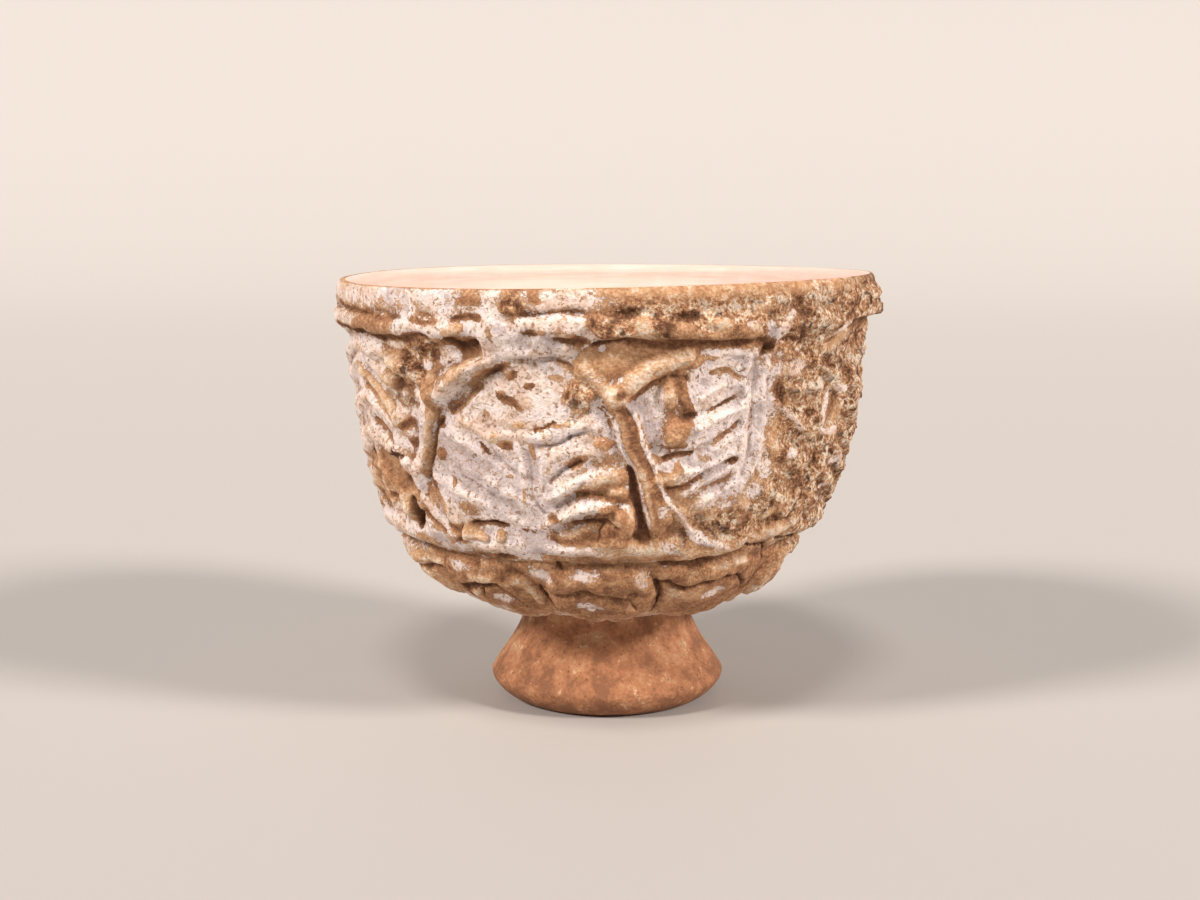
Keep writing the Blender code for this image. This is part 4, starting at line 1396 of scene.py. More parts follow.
    (OCHRE, -13, 39.2, 1.6, 1.2, -45, 0.4),
    (SOIL, -10.9, 37.5, 1.3, 0.5, -42, -0.7),
    (CREAM, 16, 42.3, 3, 0.8, -25, 0.2),
    (OCHRE, 26, 40.2, 6.2, 1.1, 8, 0.7),
    (SOIL, ((37, 41.3), (41, 40.3), (46, 39.7)), (0.5, 0.6), -0.9),
    (SOIL, ((45, 40), (48, 38), (51.6, 35.8)), (0.45, 0.5), -0.9),
    (SOIL, ((49.4, 41.2), (54, 41), (62, 40)), (0.5, 0.8), -1),
    (TAN, 39.6, 37.8, 3.4, 1, -8, 0.4),
    # The dark grounds along the groove under the cordon are partly painted shade
    (BROWN, ((-82, 37.2), (-68, 38.9), (-58, 39.3), (-46, 37.9), (-34, 37.8)), (0.8, 0.8),
           -0.3),
    (OCHRE, ((-34, 37.8), (-22, 38.1), (-10, 38.3), (3, 37.8), (15, 38)), (0.5, 0.5), -0.5),
    (UMBER, ((16, 37.7), (23, 37.9), (30, 38.4)), (0.7, 0.5), -0.7),
    # Petals: a bar over each, a sunk line, and dark gaps between. The soil in the gaps and the umber
    # under the bars paint their shade as well as soil and crust
    (BROWN, ((-13.4, 31.6), (-6, 32.8), (2, 32.6), (8, 31), (10.6, 28.6)), (0.6, 0.6), -0.8),
    (SOIL, ((-18.4, 32.4), (-17.6, 30), (-17.8, 25)), (0.9, 0.9), -1.1),
    (SOIL, ((15.4, 34), (18.6, 31), (18.2, 25)), (0.9, 0.9), -1.1),
    (BROWN, ((-13, 34.6), (-4, 35), (6, 35), (12, 34)), (1.9, 1.8), 0.6),
    (BROWN, ((16, 35.4), (24, 35.6), (34, 36.6)), (1.9, 1.8), 0.6),
    (OCHRE, 25, 31.4, 6, 1.8),
    (UMBER, ((16, 33.2), (22, 33.1), (28, 33.5), (36, 35), (41, 34.7), (46, 32.6),
                          (51, 28.8)), (0.7, 0.8), -1.1),
    (OCHRE, ((-74, 34.4), (-60, 35.6), (-50, 35.4)), (1.4, 1.1), 0.7),
    (UMBER, ((-74, 32.6), (-60, 33.6), (-49, 33.4)), (0.8, 0.7), -0.8),
    (OCHRE, ((-41, 30), (-38, 34), (-30, 35.4), (-22, 34), (-20, 30)), (1.6, 1.5), 0.5, 0),
    (UMBER, ((-38, 31), (-35, 33.2), (-30, 33.4), (-27, 31.4), (-26, 28.6)), (0.5, 0.6),
           -0.8),
    (SOIL, ((-45, 31.6), (-41, 32.6), (-36, 33.4), (-30, 33.6)), (1, 0.6), -0.9),
    (WHITE, -32, 30.4, 3.8, 1.2, 6),
    (UMBER, -25.4, 35.8, 4, 1.1, 8, -0.3),
    (FLECKED, -42, 36.4, 3.6, 1),
    (CREAM, -16.6, 35.6, 3, 1.3, -10),
    (FLECKED, -4.6, 36.2, 3.2, 0.8, 6),
    (BROWN, ((-15, 29), (-10, 30.6), (-3, 31), (4, 30), (7, 28)), (1.4, 1.4), 0.4, 0),
    (LILAC, -3, 30.4, 4, 0.9),
    (WHITE, -3.6, 29, 2, 0.7),
    (PATCHY, 11, 35.4, 1.8, 1.4),
    (UMBER, 9.6, 32.2, 1.7, 0.4, 8, -0.2),
    (PATCHY, 32.4, 37.8, 3.6, 1, -8),
    (CREAM, 34.8, 31.6, 3.6, 1.5, 10),
)


@dataclass(frozen=True)
class Front:
    """What the cup has of its own at the front, put in one by one: the lines of the carving, the lost
    flakes, the lumps of crust, and where glaze is left. Each mark lies over the ones before it.

    Attributes:
        worn: Where the regular relief is worn down or covered.
        marks: The patches and strokes that lie on it.
    """

    worn: tuple[Patch, ...] = tuple(Patch(None, *place, left=left) for *place, left in WORN)
    marks: tuple[Patch | Stroke, ...] = tuple(
        Stroke(*row) if isinstance(row[1], tuple) else Patch(*row) for row in MARKS)

    def relief_left(self, surface: Surface) -> Array:
        """How much of the arcade's and the cordons' relief is left.

        Args:
            surface: The wall.

        Returns:
            The share that is left at each point.
        """
        share = np.ones_like(surface.height)
        for patch in self.worn:
            share += patch.cover(surface) * (patch.left - share)
        return share

    def coat(self, surface: Surface, ground: Array) -> Array:
        """Lays the marks' grounds one over another.

        Args:
            surface: The outer wall.
            ground: What lies below them, one grid for each of a ground's four values.

        Returns:
            What lies on the wall, in the same form.
        """
        for mark in self.marks:
            if mark.ground is not None:
                value = np.array(mark.ground.value)[:, None, None]
                ground = ground + mark.cover(surface) * (value - ground)
        return ground


@dataclass
class GroundWeathering:
    """A Geometry Nodes tree that lays crust on the wall, sinks lost flakes and roughens the rest.

    It reads the wall's attributes crust_bias, rough, chance and outside, and writes crust, body and
    pit, which the finishes read.

    Attributes:
        patterns: The size in millimetres and the detail of each noise.
        noise_roughness: The roughness of all of them.
        crust_edge: The values between which crust comes to lie whole.
        pit_edge: The values between which a pit in it becomes deep.
        sizes: The tree's inputs: strengths of the noises, and how far each moves the surface.
    """

    patterns: dict[str, tuple[float, float]] = field(default_factory=lambda: {
        "broad": (6.5, 2.0),
        "small": (2.0, 3.0),
        "granule": (1.5, 2.0),
        "lump": (4.2, 1.0),
        "pit": (1.5, 1.0),
        "skin": (2.6, 2.0),
        "sway": (13.0, 1.0),
    })
    noise_roughness: float = 0.55
    crust_edge: tuple[float, float] = (-0.06, 0.12)
    pit_edge: tuple[float, float] = (0.07, 0.17)
    sizes: dict[str, float] = field(default_factory=lambda: {
        "Broad Strength": 1.7,
        "Small Strength": 1.5,
        "Granule Lift": 1.5 * MM,
        "Lump Lift": 2.9 * MM,
        "Pit Depth": 0.55 * MM,
        "Flake Depth": 0.22 * MM,
        "Skin Lift": 0.8 * MM,
        "Sway": 0.5 * MM,
        "Seed": 7.3,
    })

    def tree(self) -> bpy.types.NodeTree:
        """Builds the tree.

        Returns:
            The tree, with its sizes and its materials as named inputs.
        """
        tree = bpy.data.node_groups.new("ground_weathering", "GeometryNodeTree")
        face = tree.interface
        face.new_socket("Geometry", in_out="INPUT", socket_type="NodeSocketGeometry")
        for name in self.sizes:
            face.new_socket(name, in_out="INPUT", socket_type="NodeSocketFloat")
        for zone in Zone:
            face.new_socket(zone.name.title(), in_out="INPUT", socket_type="NodeSocketMaterial")
        face.new_socket("Geometry", in_out="OUTPUT", socket_type="NodeSocketGeometry")
        given = tree.nodes.new("NodeGroupInput").outputs
        add = partial(wire, tree)
        place = add(Node.POSITION)
        bias, rough, chance, outside = (add(Node.NAMED, {"Name": name})
                                        for name in ("crust_bias", "rough", "chance", "outside"))

        # Noises round 0, each of its own size
        noises = {}
        for name, (size, detail) in self.patterns.items():
            noise = add(Node.NOISE, {"Vector": place, "W": given["Seed"], "Scale": per_metre(size),
                                     "Detail": detail, "Roughness": self.noise_roughness},
                        noise_dimensions="4D")
            noises[name] = add(Node.SUBTRACT, (noise, 0.5))

        # Where crust lies, how thick it is and how it is shaped
        both = add(Node.MULTIPLY, (noises["broad"], given["Broad Strength"]))
        both = add(Node.TIMES_PLUS, (noises["small"], given["Small Strength"], both))
        crust = add(Node.TIMES_PLUS, (both, chance, bias))
        cover = add(Node.SMOOTH_RANGE, (crust, *self.crust_edge))
        thick = add(Node.MULTIPLY, (cover, rough))
        bare = add(Node.SUBTRACT, (cover, thick))
        lumps = add(Node.MULTIPLY, (noises["lump"], given["Lump Lift"]))
        body = add(Node.TIMES_PLUS, (noises["granule"], given["Granule Lift"], lumps))
        pit = add(Node.SMOOTH_RANGE, (noises["pit"], *self.pit_edge))
        pit = add(Node.MULTIPLY, (pit, thick))

        # How far each point moves out along the wall's normal
        rise = add(Node.MULTIPLY, (body, thick))
        skin = add(Node.TIMES_PLUS, (noises["skin"], given["Skin Lift"], rise))
        rise = add(Node.TIMES_PLUS, (noises["sway"], given["Sway"], skin))
        sunk = add(Node.MULTIPLY, (bare, given["Flake Depth"]))
        sunk = add(Node.TIMES_PLUS, (pit, given["Pit Depth"], sunk))
        rise = add(Node.SUBTRACT, (rise, sunk))
        rise = add(Node.MULTIPLY, (rise, outside))
        offset = add(Node.SCALED, {0: add(Node.NORMAL), "Scale": rise})

        # What the finishes read: where crust lies, its height in millimetres, and its pits
        height = add(Node.DIVIDE, (body, MM))
        shape = given["Geometry"]
        for name, value in (("crust", crust), ("body", height), ("pit", pit)):
            shape = add(Node.STORE, {"Geometry": shape, "Name": name, "Value": value})
        shape = add(Node.MOVE, {"Geometry": shape, "Offset": offset})
        shape = add(Node.REALIZE, {"Geometry": shape})
        zone_of = add(Node.NAMED_WHOLE, {"Name": "zone"})
        for zone in Zone:
            chosen = add(Node.SAME_WHOLE, {"A": zone_of, "B": int(zone)})
            shape = add(Node.DRESS, {"Geometry": shape, "Selection": chosen,
                                     "Material": given[zone.name.title()]})
        tree.links.new(shape, tree.nodes.new("NodeGroupOutput").inputs[0])
        return tree

    def lay_on(self, cup: bpy.types.Object, finishes: dict[Zone, bpy.types.Material]) -> None:
        """Puts the tree on the cup as a modifier, with its sizes and finishes.

        Args:
            cup: The carved cup.
            finishes: The material of each zone.
        """
        tree = self.tree()
        modifier = cup.modifiers.new("Ground weathering", "NODES")
        modifier.node_group = tree
        values: dict[str, Any] = dict(self.sizes)
        values.update({zone.name.title(): finishes[zone] for zone in Zone})
        for item in tree.interface.items_tree:
            if item.in_out == "INPUT" and item.name in values:
                modifier[item.identifier] = values[item.name]


def finish_tree(name: str) -> tuple[bpy.types.Material, bpy.types.NodeTree, bpy.types.NodeSocket]:
    """Starts a material.

    Args:
        name: The material's name.

    Returns:
        The material, its node tree with nothing in it but the output, and the object's coordinates.
    """
    material = bpy.data.materials.new(name)
    material.use_nodes = True
    tree = material.node_tree
    tree.nodes.clear()
    tree.nodes.new("ShaderNodeOutputMaterial")
    return material, tree, wire(tree, Node.COORDINATES)


def finish_off(tree: bpy.types.NodeTree, colour: bpy.types.NodeSocket, roughness: Any,
               relief: bpy.types.NodeSocket, depth: float, ior: float) -> None:
    """Gives a material its surface shader.

    Args:
        tree: The material's node tree.
        colour: Its colour.
        roughness: Its roughness, a number or a socket.
        relief: The height of its fine relief, from 0 to 1.
        depth: How deep that relief is.
        ior: Its index of refraction.
    """
    bumped = wire(tree, Node.BUMP, {"Strength": 1.0, "Distance": depth, "Height": relief})
    shader = wire(tree, Node.SHADER, {"Base Color": colour, "Roughness": roughness, "IOR": ior,
                                      "Normal": bumped})
    output = next(node for node in tree.nodes if node.type == "OUTPUT_MATERIAL")
    tree.links.new(shader, output.inputs["Surface"])


@dataclass(frozen=True)
class WeatheredGlaze:
    """Lead glaze on slip, gone to chalk in the ground: an opaque cream to lilac white with a dull
    sheen, stained and flaked with ragged edges, over brown crust that is gritty, pitted and matt.

    Its patterns are noises, each with its size in millimetres and its detail: flecks, fine grit,
    small grains, blotches and broad clouds.
    """

    lilac: str = "#C8B8B5"
    white: str = "#F1E3E0"
    cream: str = "#F1E0D5"
    pink: str = "#E1C5B6"
    yellow: str = "#D3B58C"
    stain: str = "#CCAA90"
    fleck: str = "#C39B78"
    dark_fleck: str = "#8D6549"
    pit_brown: str = "#593826"
    dark_brown: str = "#80573C"
    brown: str = "#AB7C59"
    ochre: str = "#CA9F78"
    pale_grain: str = "#EDDDC9"
    # Colour of soil, and of the painted shade in hollows
    soil: str = "#4E301D"
    patterns: tuple[tuple[str, float, float], ...] = (
        ("fleck", 0.8, 2.0),
        ("fine", 0.6, 3.0),
        ("small", 1.3, 4.0),
        ("middle", 3.2, 4.0),
        ("broad", 9.0, 2.0),
    )
    grit_depth: float = 0.5 * MM
    ior: float = 1.4

    def glaze(self, add: Callable[..., Any], parts: dict[str, Any], edge: Any) -> bpy.types.NodeSocket:
        """The glaze's colour: clouds of lilac, white, cream and yellow, with stains, cracks and specks.

        Args:
            add: Adds a node to the material's tree.
            parts: The attributes and noises that the finish reads, by name.
            edge: How near crust is, 0 at its edge and below 0 on the glaze.

        Returns:
            The colour.
        """
        tint = add(Node.TIMES_PLUS, (parts["middle"], 0.75, parts["broad"]))
        tint = add(Node.TIMES_PLUS, (tint, 1.1, -0.45))
        tint = add(Node.TIMES_PLUS, (parts["tone"], 0.24, tint))
        colour = add(Node.RAMP, (tint,), stops=((0.26, self.lilac), (0.42, self.white), (0.56, self.cream),
                                                (0.72, self.pink), (0.92, self.yellow)))
        # Stains in it and along its edges, and flecks in its cracks and lost specks
        mottle = add(Node.SMOOTH_RANGE, (parts["small"], 0.56, 0.68, 0.0, 0.7))
        colour = add(Node.BLEND, {FACTOR: mottle, FROM: colour, TO: self.stain})
        shade = add(Node.RANGE, (parts["fine"], 0.30, 0.70, 0.82, 1.10))
        colour = add(Node.SCALED, {0: colour, "Scale": shade})
        halo = add(Node.SMOOTH_RANGE, (edge, -0.3, 0.04, 0.0, 0.6))
        colour = add(Node.BLEND, {FACTOR: halo, FROM: colour, TO: self.stain})
        flecks = add(Node.RAMP, (parts["small"],), stops=((0.38, self.dark_fleck), (0.6, self.fleck)))
        colour = add(Node.BLEND, {FACTOR: parts["cracks"], FROM: colour, TO: flecks})
        return add(Node.BLEND, {FACTOR: parts["dots"], FROM: colour, TO: flecks})

    def crust(self, add: Callable[..., Any], parts: dict[str, Any]) -> bpy.types.NodeSocket:
        """The crust's colour: pale on its grains and dark in its pits where it is rough, partly as painted
        light and shade on the grains, and an even tan where it is only the stained clay under lost glaze.

        Args:
            add: Adds a node to the material's tree.
            parts: The attributes and noises that the finish reads, by name.

        Returns:
            The colour.
        """
        contrast = add(Node.TIMES_PLUS, (parts["rough"], 0.85, 0.34))
        grit = add(Node.ADD, (parts["fine"], parts["small"]))
        grit = add(Node.SUBTRACT, (grit, 1.0))
        # Raised grains paler and sunk ones darker: partly painted light and shade
        raised = add(Node.MULTIPLY, (parts["body"], parts["rough"]))
        tone = add(Node.TIMES_PLUS, (parts["middle"], 0.4, 0.30))
        tone = add(Node.TIMES_PLUS, (parts["tone"], 0.2, tone))
        tone = add(Node.TIMES_PLUS, (grit, contrast, tone))
        tone = add(Node.TIMES_PLUS, (raised, 0.25, tone))
        colour = add(Node.RAMP, (tone,), stops=((0.14, self.pit_brown), (0.32, self.dark_brown),
                                                (0.47, self.brown), (0.60, self.ochre),
                                                (0.78, self.pale_grain)))
        return add(Node.BLEND, {FACTOR: parts["pit"], FROM: colour, TO: self.pit_brown})

    def material(self) -> bpy.types.Material:
        """Builds the glaze, the crust and the soil that lie on one another, the soil also painting shade in
        hollows.

        Returns:
            The material.
        """
        material, tree, place = finish_tree("weathered_lead_glaze")
        add = partial(wire, tree)
        parts = {name: add(Node.ATTRIBUTE, attribute_name=name)
                 for name in ("crust", "rough", "tone", "soil", "body", "pit")}
        for name, size, detail in self.patterns:
            parts[name] = add(Node.NOISE, {"Vector": place, "Scale": per_metre(size), "Detail": detail,
                                           "Roughness": 0.6})

        # Lost specks, and hair cracks where the blotches' noise is near its middle
        dots = add(Node.TIMES_PLUS, (parts["middle"], 0.8, parts["fleck"]))
        parts["dots"] = add(Node.SMOOTH_RANGE, (dots, 1.03, 1.13, 0.0, 0.9))
        middle = add(Node.SUBTRACT, (parts["middle"], 0.5))
        middle = add(Node.ABSOLUTE, (middle,))
        line = add(Node.SMOOTH_RANGE, (middle, 0.004, 0.022, 0.7, 0.0))
        broken = add(Node.SMOOTH_RANGE, (parts["fleck"], 0.46, 0.58))
        parts["cracks"] = add(Node.MULTIPLY, (line, broken))

        # The ragged edge of crust on glaze, and soil with painted shade in hollows over both
        edge = add(Node.TIMES_PLUS, (parts["small"], 1.25, parts["crust"]))
        edge = add(Node.TIMES_PLUS, (parts["fine"], 1.3, edge))
        edge = add(Node.SUBTRACT, (edge, 1.275))
        cover = add(Node.SMOOTH_RANGE, (edge, -0.03, 0.05))
        colour = add(Node.BLEND, {FACTOR: cover, FROM: self.glaze(add, parts, edge),
                                  TO: self.crust(add, parts)})
        # Soil, and painted shade where the wall lies in a hollow
        grime_and_shade = add(Node.RANGE, (parts["middle"], 0.3, 0.6, 0.55, 1.0))
        grime_and_shade = add(Node.MULTIPLY, (grime_and_shade, parts["soil"]))
        colour = add(Node.BLEND, {FACTOR: grime_and_shade, FROM: colour, TO: self.soil})

        # Fine relief: grit, with the crust, the specks and the cracks sunk in it
        grain = add(Node.MULTIPLY, (cover, parts["rough"]))
        grain = add(Node.TIMES_PLUS, (grain, 0.9, 0.6))
        relief = add(Node.MULTIPLY, (parts["fine"], grain))
        relief = add(Node.TIMES_PLUS, (parts["small"], 0.7, relief))
        relief = add(Node.TIMES_PLUS, (cover, -0.45, relief))
        relief = add(Node.TIMES_PLUS, (parts["dots"], -0.2, relief))
        relief = add(Node.TIMES_PLUS, (parts["cracks"], -0.25, relief))
        sheen = add(Node.RANGE, (cover, 0.0, 1.0, 0.56, 0.9))
        finish_off(tree, colour, sheen, relief, self.grit_depth, self.ior)
        return material


@dataclass(frozen=True)
class ChalkyInside:
    """The same glaze inside the bowl: an even pinkish cream chalk with fine rings from the wheel.

    Its pattern sizes are in millimetres.
    """

    pink: str = "#DEC0B3"
    cream: str = "#E0C5B8"
    white: str = "#E4CCC2"
    stain: str = "#A67650"
    cloud: float = 6.0
    ring: float = 0.8
    grain: float = 0.9
    ring_flattening: tuple[float, float, float] = (0.06, 0.06, 1.0)
    relief_depth: float = 0.2 * MM
    roughness: float = 0.6
    ior: float = 1.5

    def material(self) -> bpy.types.Material:
        """Builds the chalk, its rings and its stains.

        Returns:
            The material.
        """
        material, tree, place = finish_tree("chalky_slip_inside")
        add = partial(wire, tree)
        flattened = add(Node.MAPPING, {"Vector": place, "Scale": self.ring_flattening})
        clouds = add(Node.NOISE, {"Vector": place, "Scale": per_metre(self.cloud), "Detail": 5.0,
                                  "Roughness": 0.6})
        rings = add(Node.NOISE, {"Vector": flattened, "Scale": per_metre(self.ring), "Detail": 2.0})
        both = add(Node.ADD, (clouds, rings))
        both = add(Node.MULTIPLY, (both, 0.5))
        colour = add(Node.RAMP, (both,), stops=((0.38, self.pink), (0.5, self.cream), (0.62, self.white)))
        fine = add(Node.NOISE, {"Vector": place, "Scale": per_metre(self.grain), "Detail": 3.0,
                                "Roughness": 0.6})
        crust = add(Node.ATTRIBUTE, attribute_name="crust")
        edge = add(Node.TIMES_PLUS, (fine, 1.4, crust))
        cover = add(Node.SMOOTH_RANGE, (edge, 0.56, 0.80, 0.0, 0.85))
        colour = add(Node.BLEND, {FACTOR: cover, FROM: colour, TO: self.stain})
        finish_off(tree, colour, self.roughness, both, self.relief_depth, self.ior)
        return material


@dataclass(frozen=True)
class BareEarthenware:
    """The foot's low-fired clay without glaze: dry orange-brown with sand, lime flecks and small
    pits. Its pattern sizes are in millimetres."""

    dark: str = "#895C40"
    clay: str = "#A06D4B"
    orange: str = "#AE7753"
    ochre: str = "#B68C66"
    lime: str = "#DDC0A0"
    pit: str = "#3F291C"
    cloud: float = 4.5
    sand: float = 0.8
    lime_fleck: float = 1.6
    speck: float = 0.45
    relief_depth: float = 0.3 * MM
    roughness: float = 0.82
    ior: float = 1.45

    def material(self) -> bpy.types.Material:
        """Builds the clay, its mottling and its grit.

        Returns:
            The material.
        """
        material, tree, place = finish_tree("bare_earthenware")
        add = partial(wire, tree)
        clouds = add(Node.NOISE, {"Vector": place, "Scale": per_metre(self.cloud), "Detail": 5.0,
                                  "Roughness": 0.6})
        grit = add(Node.NOISE, {"Vector": place, "Scale": per_metre(self.sand), "Detail": 3.0,
                                "Roughness": 0.65})
        both = add(Node.TIMES_PLUS, (clouds, 1.45, -0.56))
        both = add(Node.TIMES_PLUS, (grit, 0.66, both))
        # The foot's tone falls towards its bottom, which paints shade there
        tone = add(Node.ATTRIBUTE, attribute_name="tone")
        both = add(Node.TIMES_PLUS, (tone, 0.12, both))
        colour = add(Node.RAMP, (both,), stops=((0.30, self.dark), (0.44, self.clay),
                                                (0.56, self.orange), (0.72, self.ochre)))
        lime = add(Node.NOISE, {"Vector": place, "Scale": per_metre(self.lime_fleck), "Detail": 4.0,
                                "Roughness": 0.7})
        flecks = add(Node.TIMES_PLUS, (clouds, 0.5, lime))
        flecks = add(Node.SMOOTH_RANGE, (flecks, 0.88, 0.98, 0.0, 0.6))
        colour = add(Node.BLEND, {FACTOR: flecks, FROM: colour, TO: self.lime})
        specks = add(Node.NOISE, {"Vector": place, "Scale": per_metre(self.speck), "Detail": 1.0})
        holes = add(Node.SMOOTH_RANGE, (specks, 0.30, 0.24))
        soil = add(Node.ATTRIBUTE, attribute_name="soil")
        holes = add(Node.LARGER, (holes, soil))
        colour = add(Node.BLEND, {FACTOR: holes, FROM: colour, TO: self.pit})
        finish_off(tree, colour, self.roughness, both, self.relief_depth, self.ior)
        return material


@dataclass(frozen=True)
class Burial:
    """What lying in the ground did to the carved wall, besides what the marks say.

    A pair of values is where something starts and where it is whole. Most other values are changes
    of a ground's crust, roughness, tone or soil. The soil and darker tone in hollows are partly painted
    shade, and the paler tone on crests is wear and painted highlight.
    """

    # How far a hollow lies below the points within reach of it, and a crest stands above them
    reach: int = 5
    hollow: tuple[float, float] = (0.05 * MM, 0.55 * MM)
    crest: tuple[float, float] = (0.1 * MM, 0.6 * MM)
    # Angles from the front at which the plainer back begins, and heights at which the underside ends
    back: tuple[float, float] = (70.0, 100.0)
    underside: tuple[float, float] = (33.0 * MM, 40.0 * MM)
    # More crust at the back and on the underside; on the underside it and under_tone partly paint its shade
    more_crust: float = 0.16
    rough: float = 0.2
    under_tone: float = 0.4
    hollow_crust: float = 0.22
    back_hollow_crust: float = 0.14
    crest_crust: float = 0.12
    # Paler crests are wear and painted highlight; darker, soiled hollows are painted shade with soil
    crest_wear_and_highlight_tone: float = 0.45
    hollow_shade_tone: float = 0.3
    hollow_soil_and_shade: float = 0.4
    # The crust at which hollows take soil and painted shade, the most of both, and the share of chance
    # beside the marks
    soil_edge: tuple[float, float] = (-0.5, 0.1)
    most_soil: float = 0.95
    front_chance: float = 0.6

    def attributes(self, wall: Surface, marked: Surface, relief: Array, front: Front) -> dict[str, Array]:
        """What the ground did at every point of the carved wall.

        Args:
            wall: The wall before carving.
            marked: The same wall with its points moved about, for the edges of the marks.
            relief: How far each point stands out.
            front: The marks.

        Returns:
            A grid for each attribute that the weathering and the finishes read.
        """
        above = relief - blurred(relief, self.reach)
        shade = smoothstep(*self.hollow, -above)
        crest = smoothstep(*self.crest, above)
        behind = smoothstep(*self.back, np.abs(wall.angle))
        under = 1.0 - smoothstep(*self.underside, wall.height)
        base = np.stack([self.more_crust * behind + self.more_crust * under - self.more_crust,
                         self.rough + self.rough * behind, self.under_tone * under,
                         np.zeros_like(behind)])
        crust, rough, tone, soil = front.coat(marked, base)
        crust = crust + (self.hollow_crust + self.back_hollow_crust * behind) * shade
        crust = crust - self.crest_crust * crest
        # Hollows take soil and a darker tone as painted shade, crests a paler tone as wear and painted
        # highlight
        soil = np.maximum(soil, self.hollow_soil_and_shade * shade * smoothstep(*self.soil_edge, crust))
        return {
            "crust_bias": crust,
            "rough": rough,
            "tone": tone + self.crest_wear_and_highlight_tone * crest - self.hollow_shade_tone * shade,
            "soil": np.clip(soil, 0.0, self.most_soil),
            "chance": self.front_chance + (1.0 - self.front_chance) * behind,
        }


